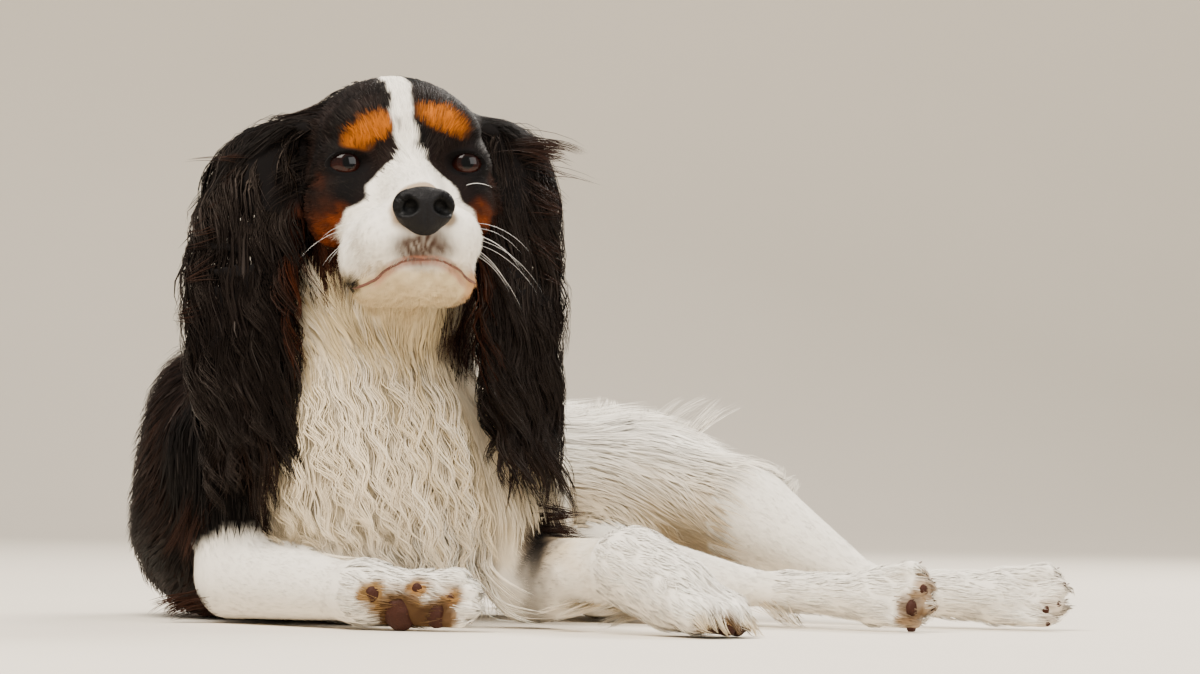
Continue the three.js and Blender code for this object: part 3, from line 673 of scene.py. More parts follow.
def ear_markings(p):
    """Black, sunned brown towards the ends, with a streak of rust on the side of the cheek."""
    x, _, z = p.T
    inner = np.minimum(np.abs(x + 155), np.abs(x + 61))
    streak = (1 - ramp(1.5, 6, inner)) * ramp(168, 182, z) * ramp(218, 206, z)
    return paint(
        all_in("black", p),
        ("brown", 0.02 + 0.55 * ramp(125, 60, z + 14 * waves(p, 22, 6))),
        ("rust", 0.35 * streak * (0.5 + 0.5 * waves(p, 9, 7))),
    )


def paw_markings(p, leg):
    """White, stained round the pads."""
    tone, stain = all_in("white", p), leg["stain"]
    for place, size in leg["pads"]:
        off = np.linalg.norm(p - place, axis=1) + 1.5 * waves(p, 8, 2)
        tone = paint(tone, ("stain", stain * (1 - ramp(size + 1, size + 7, off))))
    for place, size in leg["pads"]:
        off = np.linalg.norm(p - place, axis=1) + 1.2 * waves(p, 5, 13)
        sole = ("brown", 0.75 * stain * (1 - ramp(size, size + 5, off)) * (size > 4.2))
        toe = ("tan", 0.2 * stain * (1 - ramp(1, size + 3, off)) * (size < 4))
        tone = paint(tone, sole, toe)
    return tone


def markings(p, part):
    """The coat's colour at rows of points, each on the part with that number."""
    tone = body_markings(p)
    for i, name in enumerate(PART_NAMES):
        on = np.nonzero(part == i)[0]
        if not len(on):
            continue
        if name == "head":
            tone[on] = head_markings(p[on])
        elif name.startswith("ear"):
            tone[on] = ear_markings(p[on])
        elif name.endswith("foot"):
            tone[on] = paw_markings(p[on], LEGS[name[:-5]])
        elif name == "fore_right_upper":
            top = 48 + 0.7 * np.minimum(p[on, 0] + 190, 0) + 2 * waves(p[on], 14, 20)
            tone[on] = paint(all_in("white", on), ("black", ramp(-4, 4, p[on, 2] - top)))
        elif name in ("fore_right_lower", "hind_right_lower", "hind_left_lower"):
            tone[on] = colour("white")
    return tone


# Materials, with the height in metres of the skin's folds and the hair's lines, drawn as bump
BUMP_HEIGHT = 0.0003


def node(tree, kind, settings=None, links=None):
    """Adds a node with its settings, and links its inputs to other nodes' outputs or sets their values."""
    made = tree.nodes.new("ShaderNode" + kind)
    for key, value in (settings or {}).items():
        setattr(made, key, value)
    for key, value in (links or {}).items():
        if isinstance(value, bpy.types.NodeSocket):
            tree.links.new(value, made.inputs[key])
        else:
            made.inputs[key].default_value = value
    return made


def material(name, settings):
    """A new material with its shader's settings, its node tree and its shader."""
    made = bpy.data.materials.new(name)
    made.use_nodes = True
    shader = made.node_tree.nodes["Principled BSDF"]
    for key, value in settings.items():
        shader.inputs[key].default_value = value
    return made, made.node_tree, shader


def dress(tree, shader, tone, bump=None):
    """Gives a shader its colour, and its bumps where it has any."""
    tree.links.new(tone, shader.inputs["Base Color"])
    if bump:
        tree.links.new(bump.outputs["Normal"], shader.inputs["Normal"])


# The body's coat scatters light softly. The ears' hair is glossier: light runs down it in bright stripes
COATS = {"silky_hair": (0.55, 0.09, "#fff4e6"), "glossy_ear_hair": (0.36, 0.17, "#ffe0c8")}


def coat_material(name):
    """Spaniel hair: thin and silky, so that a lock shows fine lines and a soft stripe of light along it.

    Single hairs are too fine to show, so the lines are drawn about 0.5 mm apart.
    """
    if name in bpy.data.materials:
        return bpy.data.materials[name]
    roughness, level, sheen = COATS[name]
    settings = {"Roughness": roughness, "IOR": 1.5, "Specular IOR Level": level}
    made, tree, shader = material(name, settings | {"Specular Tint": (*linear(sheen), 1)})
    painted = node(tree, "Attribute", {"attribute_name": "Coat"})
    along = node(tree, "UVMap", {"uv_map": "Hair"}).outputs["UV"]
    stretched = node(tree, "Mapping", links={"Vector": along, "Scale": Vector((2.0, 0.07, 1.0))})
    grain = {"Vector": stretched.outputs["Vector"], "Scale": 1.0, "Detail": 1.0}
    lines = node(tree, "TexNoise", {"noise_dimensions": "2D"}, grain).outputs["Fac"]
    depths = {"Value": lines, "From Min": 0.3, "From Max": 0.7, "To Min": 0.84, "To Max": 1.08}
    depth = node(tree, "MapRange", links=depths)
    settings = {"data_type": "RGBA", "blend_type": "MULTIPLY", "clamp_result": True}
    tones = {"Factor": 1.0, 6: painted.outputs["Color"], 7: depth.outputs["Result"]}
    shaded = node(tree, "Mix", settings, tones)
    bump = node(tree, "Bump", links={"Height": lines, "Distance": BUMP_HEIGHT, "Strength": 0.4})
    dress(tree, shader, shaded.outputs[2], bump)
    return made


def painted_material(name, settings, layer, folds=0.0, strength=0.0):
    """A surface in the colours painted on its mesh, with fine folds as bump."""
    made, tree, shader = material(name, settings)
    painted = node(tree, "Attribute", {"attribute_name": layer})
    bump = None
    if strength:
        place = node(tree, "TexCoord").outputs["Object"]
        fine = node(tree, "TexNoise", links={"Vector": place, "Scale": folds, "Detail": 2.0})
        heights = {"Height": fine.outputs["Fac"], "Distance": BUMP_HEIGHT, "Strength": strength}
        bump = node(tree, "Bump", links=heights)
    dress(tree, shader, painted.outputs["Color"], bump)
    return made


def clouded_material(name, settings, scale, detail, dark, light):
    """A surface whose colour drifts between two tones in soft clouds."""
    made, tree, shader = material(name, settings)
    place = node(tree, "TexCoord").outputs["Object"]
    clouds = node(tree, "TexNoise", links={"Vector": place, "Scale": scale, "Detail": detail})
    tones = {"Factor": clouds.outputs["Fac"], 6: (*dark, 1), 7: (*light, 1)}
    mix = node(tree, "Mix", {"data_type": "RGBA"}, tones)
    dress(tree, shader, mix.outputs[2])
    return made, tree, shader, mix, place


def leather_material(name, tone, grain, depth, roughness):
    """Bare damp skin, pebbled in cells of the grain's size in millimetres, with painted shade in its hollows
    where the tone painted on its mesh is dark.
    """
    settings = {"Roughness": roughness, "IOR": 1.42, "Specular IOR Level": 0.22}
    dark, light = colour(tone) * 0.7, colour(tone) * 1.5
    made, tree, shader, mix, place = clouded_material(name, settings, 160.0, 3.0, dark, light)
    painted = node(tree, "Attribute", {"attribute_name": "Tone"})
    tones = {"Factor": 1.0, 6: mix.outputs[2], 7: painted.outputs["Color"]}
    # Painted shade: the tone painted on the mesh darkens its hollows, such as the nostrils
    hollow_shade = node(tree, "Mix", {"data_type": "RGBA", "blend_type": "MULTIPLY"}, tones)
    cells = node(tree, "TexVoronoi", links={"Vector": place, "Scale": 1000.0 / grain})
    pebbles = {"Height": cells.outputs["Distance"], "Distance": depth * MM, "Strength": 0.8}
    dress(tree, shader, hollow_shade.outputs[2], node(tree, "Bump", {"invert": True}, pebbles))
    return made


# Meshes
def to_frame(p):
    """From the drawing, in millimetres, to the frame, in metres."""
    return (np.asarray(p, float) + SHIFT) * MM


def piece_from(mesh, made, replaces=()):
    """Puts a finished mesh in the scene as a piece of the model, under the mesh's name."""
    obj = bpy.data.objects.new(mesh.name, mesh)
    bpy.context.scene.collection.objects.link(obj)
    mesh.materials.append(made)
    mesh.polygons.foreach_set("use_smooth", [True] * len(mesh.polygons))
    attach(obj, "root")
    if replaces:
        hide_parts(*replaces)
    return obj


def mesh_points(mesh):
    found = np.empty(len(mesh.vertices) * 3)
    mesh.vertices.foreach_get("co", found)
    return found.reshape(-1, 3)


def set_mesh_points(mesh, p):
    mesh.vertices.foreach_set("co", np.asarray(p, float).ravel())
    mesh.update()


def store_colours(mesh, name, tones):
    """Paints a mesh's points: one colour or number for all, or a row for each."""
    rows = np.ones((len(mesh.vertices), 4))
    rows[:, :3] = tones
    mesh.color_attributes.new(name, "FLOAT_COLOR", "POINT").data.foreach_set("color", rows.ravel())


def mesh_of(name, points, loops, sizes):
    """A mesh of faces whose corners follow one another in loops, with each face's number of corners."""
    mesh = bpy.data.meshes.new(name)
    mesh.vertices.add(len(points))
    mesh.loops.add(len(loops))
    mesh.polygons.add(len(sizes))
    mesh.vertices.foreach_set("co", np.ascontiguousarray(points, float).ravel())
    mesh.loops.foreach_set("vertex_index", loops)
    mesh.polygons.foreach_set("loop_start", np.concatenate([[0], np.cumsum(sizes)[:-1]]))
    mesh.polygons.foreach_set("loop_total", sizes)
    mesh.update(calc_edges=True)
    return mesh


def mesh_from(bm, name):
    """Ends a bmesh as a mesh whose faces point outwards."""
    bmesh.ops.recalc_face_normals(bm, faces=bm.faces)
    mesh = bpy.data.meshes.new(name)
    bm.to_mesh(mesh)
    bm.free()
    return mesh


def unit_ball(subdivisions):
    """The points and triangles of a ball of radius 1."""
    bm = bmesh.new()
    bmesh.ops.create_icosphere(bm, subdivisions=subdivisions, radius=1)
    bm.verts.index_update()
    points = np.array([v.co[:] for v in bm.verts])
    triangles = np.array([[v.index for v in f.verts] for f in bm.faces])
    bm.free()
    return points, triangles


def mesh_of_balls(name, rows, triangles):
    """One mesh of shaped balls, each with its own row of points."""
    loops = (triangles[None] + np.arange(len(rows))[:, None, None] * len(rows[0])).ravel()
    return mesh_of(name, np.concatenate(rows), loops, np.full(len(loops) // 3, 3))


def swept(rings):
    """A bmesh whose rings of points are joined one after another, open at its ends."""
    bm = bmesh.new()
    verts = bmesh.ops.create_circle(bm, segments=len(rings[0]), radius=1)["verts"]
    edges = list(bm.edges)
    for number, ring in enumerate(rings):
        if number:
            made = bmesh.ops.extrude_edge_only(bm, edges=edges)["geom"]
            edges = [e for e in made if isinstance(e, bmesh.types.BMEdge) and e.is_boundary]
            verts = [v for v in made if isinstance(v, bmesh.types.BMVert)]
        for vert, place in zip(verts, ring):
            vert.co = Vector(place)
    return bm


# Skin
def rough_body():
    """Closed balls along each form, whose union a voxel remesh turns into one skin."""
    points, triangles = unit_ball(3)
    rows = []

    def add(centre, radii, turn=np.eye(3)):
        rows.append(points * radii @ turn + centre)

    def add_limb(a, b, ra, rb):
        a, b = np.array(a, float), np.array(b, float)
        count = max(2, int(np.linalg.norm(b - a) / (0.35 * min(ra, rb))))
        for share in np.linspace(0, 1, count + 1):
            add(a + (b - a) * share, ra + (rb - ra) * share)

    for centre, radii in [
        ((0, 42, 12), (48, 50, 41)),
        ((0, 16, 8), (37, 26, 30)),
        ((0, -2, -40), (28, 36, 26)),
        ((0, -28, -42), (30, 22, 22)),
        ((0, 4, -30), (44, 30, 28)),
        ((0, -19, -61), (25, 17, 12)),
        ((0, 6, -56), (26, 28, 19)),
        ((-31, 6.5, 0), (12.3, 12.3, 12.3)),
        ((31, 6.5, 0), (12.3, 12.3, 12.3)),
    ]:
        add(on_face(*centre), radii, FACE_TURN)
    add_limb((-112, 122, 214), (-138, 148, 132), 40, 64)
    for centre, radii, turn in [
        ((-112, 108, 84), (62, 52, 78), 0),
        ((-108, 118, 46), (62, 56, 44), 0),
        ((-163, 182, 84), (80, 90, 84), 0),
        ((-172, 190, 50), (70, 80, 44), 0),
        ((-92, 256, 68), (80, 56, 58), 0.45),
        ((6, 284, 60), (72, 54, 52), 0.12),
    ]:
        add(centre, radii, turned(turn, 0, 0))
    add_limb((-135, 130, 90), (-60, 250, 76), 50, 52)
    for leg in LEGS.values():
        joints = leg["joints"]
        for (a, ra), (b, rb) in zip(joints[:3], joints[1:4]):
            add_limb(a, b, ra * 0.85, rb * 0.85)
        tips, radius = toe_tips(leg)
        for a, b in tips:
            add_limb(a, b, radius, radius)
    for a, b in zip(TAIL_LINE[:-1], TAIL_LINE[1:]):
        add_limb(a, b, 8, 7)
    for ear in EARS.values():
        line, _, flat, face_way, wide = ear_frames(ear, 22)
        for i in range(22):
            for share in np.linspace(-1, 1, 13):
                middle = line[i] + flat[i] * share * (wide[i] - EAR_SKIN) - face_way[i] * EAR_CUP * share**2
                add(middle, EAR_SKIN + 0.4)
    return mesh_of_balls("rough_body", rows, triangles)


def remeshed(mesh, voxel):
    """The one skin round a mesh of overlapping balls."""
    obj = bpy.data.objects.new("rough_body", mesh)
    bpy.context.scene.collection.objects.link(obj)
    remesh = obj.modifiers.new("Remesh", "REMESH")
    remesh.mode = "VOXEL"
    remesh.voxel_size = voxel
    evaluated = obj.evaluated_get(bpy.context.evaluated_depsgraph_get())
    done = bpy.data.meshes.new_from_object(evaluated)
    bpy.data.objects.remove(obj)
    return done


def on_front_of_head(q):
    return (q[:, 1] < 16) & (np.abs(q[:, 0]) < 46) & (q[:, 2] > -80) & (q[:, 2] < 34)


def round_the_eyes(q):
    return (q[:, 1] < 12) & (eye_reach(q, (13.5, 22, 9.5)) < 1)


def refine(mesh, wanted):
    """Halves the skin's faces where the face's folds are fine."""
    bm = bmesh.new()
    bm.from_mesh(mesh)
    centres = np.array([f.calc_center_median() for f in bm.faces])
    fine = np.nonzero(wanted(to_face(centres)))[0]
    bm.faces.ensure_lookup_table()
    edges = {e for i in fine for e in bm.faces[i].edges}
    bmesh.ops.subdivide_edges(bm, edges=list(edges), cuts=1, use_grid_fill=True)
    bmesh.ops.triangulate(bm, faces=[f for f in bm.faces if len(f.verts) > 4])
    bm.to_mesh(mesh)
    bm.free()


def relaxed(mesh, rounds):
    """Evens out a mesh's points."""
    axes = {"use_axis_x": True, "use_axis_y": True, "use_axis_z": True}
    bm = bmesh.new()
    bm.from_mesh(mesh)
    for _ in range(rounds):
        bmesh.ops.smooth_vert(bm, verts=bm.verts, factor=0.5, **axes)
    bm.to_mesh(mesh)
    bm.free()


def unwrap(mesh):
    """An unwrap of the skin's own shape, which the coat's tufts take their places from."""
    obj = bpy.data.objects.new("unwrapping", mesh)
    bpy.context.scene.collection.objects.link(obj)
    bpy.context.view_layer.objects.active = obj
    obj.select_set(True)
    mesh.uv_layers.new(name="OFBake")
    bpy.ops.object.mode_set(mode="EDIT")
    bpy.ops.mesh.select_all(action="SELECT")
    bpy.ops.uv.smart_project(angle_limit=math.radians(66), island_margin=0.002)
    bpy.ops.object.mode_set(mode="OBJECT")
    bpy.data.objects.remove(obj)


FLESH = ["head", "neck", "chest", "ribs", "loin", "rump", "tail", "ear_right", "ear_left"]
for leg_side in ("right", "left"):
    for leg_part in ("upper_arm", "forearm", "forepaw", "thigh", "shank", "hind_foot"):
        FLESH.append(f"{leg_part}_{leg_side}")
SKIN = {}


def eye_reach(q, grow=(12.0, 16.0, 8.0)):
    """How far rows of points in the face's frame are from the nearer eye, where 1 is its opening's rim."""
    middles = [np.array([side * OPENING_OUT, EYE_DEPTH - 4, OPENING_DROP]) for side in (-1, 1)]
    return np.minimum(*(np.linalg.norm((q - middle) / np.array(grow), axis=1) for middle in middles))


def with_open_lids(p):
    """Sinks the skin inside each eye's opening to just under the eyeball."""
    q = to_face(p)
    for side, socket in zip((-1, 1), SOCKETS):
        middle = np.array([side * EYE_OUT, EYE_DEPTH, 0])
        open_part = socket(q) < 0
        q[open_part] = middle + unit(q[open_part] - middle) * (EYE_RADIUS - 1.2)
    return q @ FACE_TURN + FACE_AT


def make_skin():
    """Skin under the coat, with the lie of the shortest hair as fine bump, 0.7 mm wide."""
    sizes = bpy.context.scene.spaniel_sizes
    mesh = remeshed(rough_body(), sizes.skin_voxel)
    for wanted in (on_front_of_head, round_the_eyes):
        set_mesh_points(mesh, settle(skin_distance, mesh_points(mesh), rounds=3))
        relaxed(mesh, 2)
        refine(mesh, wanted)
    for _ in range(2):
        relaxed(mesh, 1)
        set_mesh_points(mesh, settle(skin_distance, mesh_points(mesh), rounds=2))
    p = with_open_lids(mesh_points(mesh))
    set_mesh_points(mesh, p)
    unwrap(mesh)
    part = part_distances(p).argmin(0)
    lips = near_line(p, MOUTH)
    q = to_face(p)
    # The skin is painted a little darker than the coat over it, as painted shade under the hair
    tones = paint(
        markings(p, part) * 0.95,
        ("lip", 0.8 * (1 - ramp(1.0, 4.0, lips)) * (1 - ramp(20, 26, np.abs(q[:, 0])))),
        ("lip_edge", 0.7 * (1 - ramp(0.3, 1.2, lips))),
        ("black", 1 - ramp(0.95, 1.3, eye_reach(q, (11.5, 18, 7.6)))),
    )
    store_colours(mesh, "Coat", tones)
    mesh.calc_loop_triangles()
    corners = np.empty(len(mesh.loop_triangles) * 3, int)
    mesh.loop_triangles.foreach_get("vertices", corners)
    loops = np.empty(len(mesh.loop_triangles) * 3, int)
    mesh.loop_triangles.foreach_get("loops", loops)
    uv = np.empty(len(mesh.loops) * 2)
    mesh.uv_layers["OFBake"].data.foreach_get("uv", uv)
    corners = corners.reshape(-1, 3)
    SKIN.update(points=p, corners=corners, uv=uv.reshape(-1, 2)[loops].reshape(-1, 3, 2), part=part)
    SKIN["zone"] = zone_of(p[corners].mean(1), part[corners[:, 0]])
    set_mesh_points(mesh, to_frame(p))
    mesh.name = "skin"
    settings = {"Roughness": 0.9, "Specular IOR Level": 0.1}
    made = painted_material("short_hair_on_skin", settings, "Coat", 1400.0, 0.3)
    piece_from(mesh, made, FLESH)


# Lie of the coat
SPINE = [(-112, 60, 84), (-140, 140, 84), (-160, 190, 82), (-128, 240, 76), (-72, 265, 70)]
SPINE = smooth_line(SPINE + [(0, 284, 64), (60, 296, 60)], 24)


def lie_on_head(q):
    """In the frame of the face: back from the nose, round the eyes, and down over the roots of the ears."""
    way = unit(q - [0, NOSE_DEPTH - 4, NOSE_DROP + 2])
    for side in (-1, 1):
        off = q - [side * OPENING_OUT, EYE_DEPTH - 4, OPENING_DROP]
        close = 1 - ramp(0.9, 1.9, np.linalg.norm(off / [12, 16, 8], axis=1))
        way = way + 1.7 * close[:, None] * unit(off)
    over_ear = (ramp(22, 44, q[:, 1]) * ramp(20, 38, np.abs(q[:, 0])))[:, None]
    down = unit(np.stack([0.6 * np.sign(q[:, 0]), np.full(len(q), 0.2), np.full(len(q), -0.85)], axis=1))
    return unit(unit(way) * (1 - over_ear) + down * over_ear)


def lie_of(p):
    """Which way the hair runs at rows of points: from the nose over the face, then to the tail and feet."""
    ways = unit(np.gradient(SPINE, axis=0))
    front = (1 - ramp(70, 125, p[:, 1]))[:, None]
    near = nearest(p[:, :2], SPINE[:, :2])
    trunk = unit(ways[near] * (1 - front) + np.array([0.12, -0.1, -0.5]) * (0.7 + front))
    inward = -0.85 * np.clip((p[:, 0] + 98) / 32, -1, 1)
    throat = np.stack([inward, np.full(len(p), -0.1), np.full(len(p), -0.75)], axis=1)
    rows = {"neck": unit(throat), "trunk": trunk, "head": lie_on_head(to_face(p)) @ FACE_TURN}
    rows["tail"] = unit(np.array([-0.75, 0.3, -0.1]))
    for name, leg in LEGS.items():
        joints = [np.array(j[0], float) for j in leg["joints"]]
        rows[name + "_upper"] = unit(joints[1] - joints[0] + np.array([0, 0, -18.0]))
        rows[name + "_lower"] = unit(joints[2] - joints[1])
        rows[name + "_foot"] = unit(joints[4] - joints[2])
    for name, ear in EARS.items():
        line, along = ear_frames(ear, 60, fringe=True)[:2]
        rows[name] = along[nearest(p, line)]
    off = part_distances(p)
    share = np.exp(-(off - off.min(0)) / 7.0)
    share /= share.sum(0)
    return unit(sum(share[i][:, None] * rows[name] for i, name in enumerate(PART_NAMES)))


# The coat's layers, by zone. density: strands for each square centimetre. length, half_width and rise, the
# height of the tips over the skin, are in millimetres. stray: how much single strands leave the lie. soft:
# how much the skin's own turn shades them. gather: how far strands are drawn to the middle of their lock,
# which has as many strands as lock says. wave and bends: how far in millimetres, and how often, a lock swings
# across its lie. flow: the length in millimetres of a wave that runs through neighbouring locks. loose: how
# much those locks differ. tint: share of the coat's colour
LOOKS = "zone density length half_width rise segments stray soft gather".split()
LOOKS += "lock wave bends flow loose tint".split()
PLAIN_LOOK = {"lock": 14, "wave": 0.0, "bends": 0.0, "flow": 0, "loose": 0.1, "tint": 1.0}
LAYERS = {
    "muzzle_hair": ("muzzle", 150, 6.4, 0.18, 1.3, 1, 0.09, 0.5, 0.35),
    "face_hair": ("face", 84, 9.0, 0.22, 1.3, 2, 0.06, 0.6, 0.4),
    "skull_hair": ("skull", 32, 27.0, 0.26, 3.2, 4, 0.05, 0.45, 0.5, 12, 1.2, 0.6),
    "leg_hair": ("leg", 52, 7.5, 0.22, 0.8, 1, 0.06, 0.82, 0.3),
    "foot_hair": ("foot", 34, 9.5, 0.24, 2.2, 2, 0.09, 0.94, 0.5),
    "ear_locks": ("ear", 1.6, 56.0, 1.0, 2.5, 7, 0.05, 0.35, 0.3, 14, 4.5, 1.3, 46, 0.15),
    "ear_hair": ("ear", 18.5, 66.0, 0.24, 7.0, 9, 0.05, 0.3, 0.92, 26, 6.5, 1.4, 46, 0.15),
    "neck_locks": ("neck", 2.0, 30.0, 1.1, 3.0, 3, 0.06, 0.85, 0.2, 14, 1.0, 0.6),
    "neck_hair": ("neck", 20, 32.0, 0.22, 4.5, 4, 0.07, 0.85, 0.55, 22, 1.6, 0.7),
    # chest_down's tint under 1 paints the down under the curls darker, as painted shade among them;
    # chest_curls' tint over 1 paints the curls lighter, as painted light
    "chest_down": ("chest", 24, 26.0, 0.34, 3.0, 3, 0.1, 0.88, 0.45, 14, 1.6, 0.9, 0, 0, 0.62),
    "chest_curls": ("chest", 12, 60.0, 0.21, 11.0, 15, 0.13, 0.62, 0.96, 14, 3.4, 2.7, 21, 0.42, 1.1),
    "body_down": ("body", 3.0, 26.0, 1.2, 3.0, 2, 0.06, 0.92, 0.2, 14, 0.6, 0.5),
    "body_hair": ("body", 9.6, 38.0, 0.22, 6.0, 3, 0.08, 0.97, 0.42, 20, 1.8, 0.6),
    "tail_down": ("tail", 3, 46.0, 1.0, 8.0, 4, 0.06, 0.7, 0.3, 14, 1.6, 0.8),
    "tail_hair": ("tail", 14, 52.0, 0.3, 12.0, 5, 0.08, 0.6, 0.6, 22, 2.0, 0.9),
}
ZONE_NAMES = ["muzzle", "face", "skull", "leg", "foot", "ear", "neck", "chest", "body", "tail"]


def zone_of(p, part):
    """The number of the coat's zone at rows of points, each on the part with that number."""
    q = to_face(p)
    names = np.array(PART_NAMES)[part]
    found = np.full(len(p), "body", dtype="<U8")
    head = names == "head"
    found[head] = "skull"
    found[head & (q[:, 1] < 22)] = "face"
    found[head & (q[:, 1] < 4) & (q[:, 2] < -4)] = "muzzle"
    found[(names == "trunk") & (p[:, 1] < 84) & (p[:, 0] > -196)] = "chest"
    for ending, zone in (("neck", "neck"), ("tail", "tail"), ("_lower", "leg"), ("_foot", "foot")):
        found[np.char.endswith(names, ending)] = zone
    ears = np.char.startswith(names, "ear")
    found[ears] = "ear"
    found[ears & (p[:, 2] > 253)] = "skull"
    found[np.char.startswith(names, "fore") & np.char.endswith(names, "_upper") & (p[:, 2] < 62)] = "leg"
    return np.argmax(found[:, None] == np.array(ZONE_NAMES)[None], axis=1)


# The hairless opening round an eye: half its width, depth and height
EYE_BARE = (10.6, 18, 7.0)


def bare_skin(p):
    """Where no hair grows: the eyes' openings, the nose leather, the lips and the middles of the pads."""
    q = to_face(p)
    bare = near_line(p, MOUTH) < 1.2
    bare |= eye_reach(q, EYE_BARE) < 1
    bare |= np.linalg.norm((q - [0, NOSE_DEPTH, NOSE_DROP + 1]) / [15.0, 10, 13.2], axis=1) < 1
    for leg in LEGS.values():
        for place, size in leg["pads"]:
            bare |= np.linalg.norm(p - place, axis=1) < size * 0.75
    return bare | (p[:, 2] < 3.0)


def length_share(p, zone):
    """How long the hair is at rows of points, as a share of its layer's length."""
    q = to_face(p)
    share = np.ones(len(p))
    if zone in ("muzzle", "face"):
        nose = np.linalg.norm((q - [0, NOSE_DEPTH, NOSE_DROP]) / [15, 11, 13], axis=1)
        share *= 0.45 + 0.55 * ramp(1.0, 1.9, nose)
        share *= 0.5 + 0.5 * ramp(1.0, 1.7, eye_reach(q, EYE_BARE))
        share *= 0.55 + 0.45 * ramp(1.5, 6, near_line(p, MOUTH))
    if zone == "skull":
        share *= 0.65 + 1.2 * ramp(24, 46, np.abs(q[:, 0])) * ramp(14, 44, q[:, 1])
    if zone == "chest":
        share *= 0.7 + 0.4 * ramp(165, 115, p[:, 2]) - 0.25 * ramp(60, 20, p[:, 2])
        share *= 1 - 0.7 * ramp(105, 60, p[:, 2]) * ramp(-84, -102, p[:, 0])
    if zone == "body":
        share *= 0.75 + 0.4 * ramp(60, 110, p[:, 2])
    if zone == "foot":
        share *= 0.8 + 0.7 * waves(p, 7, 11) ** 2
    if zone == "ear":
        share *= 0.62 + 0.5 * ramp(230, 130, p[:, 2])
    return share


def roots(zone, density, rng):
    """Random places on the skin in one zone, with their places on its unwrap and their parts' numbers."""
    p, corners = SKIN["points"], SKIN["corners"]
    a, b, c = (p[corners[:, i]] for i in range(3))
    area = np.linalg.norm(np.cross(b - a, c - a), axis=1) / 2 * (SKIN["zone"] == ZONE_NAMES.index(zone))
    total = area.sum()
    count = int(total / 100 * density)
    chosen = rng.choice(len(area), size=count, p=area / total)
    u, v = rng.random(count), rng.random(count)
    flip = u + v > 1
    u[flip], v[flip] = 1 - u[flip], 1 - v[flip]
    weights = np.stack([1 - u - v, u, v], axis=1)
    place = (p[corners[chosen]] * weights[:, :, None]).sum(1)
    uv = (SKIN["uv"][chosen] * weights[:, :, None]).sum(1)
    keep = ~bare_skin(place)
    return place[keep], uv[keep], SKIN["part"][corners[chosen, 0]][keep]


def combed(place, length, rise, steps, stray, rng):
    """Paths of strands over the skin: they follow the lie, and their tips stand at the rise."""
    out = way_out(skin_distance, place)
    way = unit(lie_of(place) + rng.normal(scale=stray, size=place.shape))
    p = place - out * 0.8
    path = [p]
    for i in range(steps):
        share = (i + 1) / steps
        along = unit(way - out * (way * out).sum(1, keepdims=True) * (0.9 if i else 0.6))
        p = p + along * (length / steps)[:, None]
        near = skin_distance(p)
        out = way_out(skin_distance, p, near)
        want = rise * share**0.75
        p = p + out * ((want - near) * np.where(near < want, 1.0, 0.45))[:, None]
        p[:, 2] = np.maximum(p[:, 2], 0.8 + 0.4 * rng.random(len(p)))
        path.append(p)
        if steps > 2:
            way = unit(0.7 * way + 0.3 * lie_of(p))
    return np.stack(path, axis=1)


# Share of the strands kept on the faces of the ears that lie against the head
INNER_EAR_SHARE = 0.4


def places_on_ear(place, ear):
    """For rows of points: the nearest row down the ear, how far across and how far out they are.

    It also says which of them lie on the outer face, and gives the ear's own rows.
    """
    line, along, flat, face, wide = ear_frames(ear, 60, fringe=True)
    near = nearest(place, line)
    off = place - line[near]
    u = (off * flat[near]).sum(1)
    w = (off * face[near]).sum(1)
    outer = w + EAR_CUP * (u / wide[near]) ** 2 > -0.5
    return near, u, w, outer, (line, along, flat, face, wide)


def hung_on_ear(place, ear, length, rise, steps):
    """Paths of an ear's strands, down its face and past its end."""
    near, u, w, outer, (line, along, flat, face, wide) = places_on_ear(place, ear)
    spacing = np.linalg.norm(np.diff(line, axis=0), axis=1).mean()
    outer = np.where(outer, 1.0, -0.6)
    rise = rise * (0.1 + 0.9 * ramp(8, 38, near))
    path = [place]
    for i in range(1, steps + 1):
        share = i / steps
        at = near + length * share / spacing
        low = np.minimum(at.astype(int), len(line) - 1)
        beyond = np.maximum(at - (len(line) - 1), 0) * spacing
        base = line[low] + along[low] * ((at - low) * spacing * (beyond <= 0))[:, None]
        base = base + along[-1] * np.minimum(beyond, 16)[:, None]
        spread = u * (1 + 0.14 * share) * wide[low] / wide[near]
        height = w + outer * rise * share**0.7
        path.append(base + flat[low] * spread[:, None] + face[low] * height[:, None])
    return np.stack(path, axis=1)


def nearest_of(points, p):
    """For rows of points p, the number of the nearest of the points."""
    tree = KDTree(len(points))
    for i, point in enumerate(points):
        tree.insert(point, i)
    tree.balance()
    return np.array([tree.find(row)[1] for row in p])


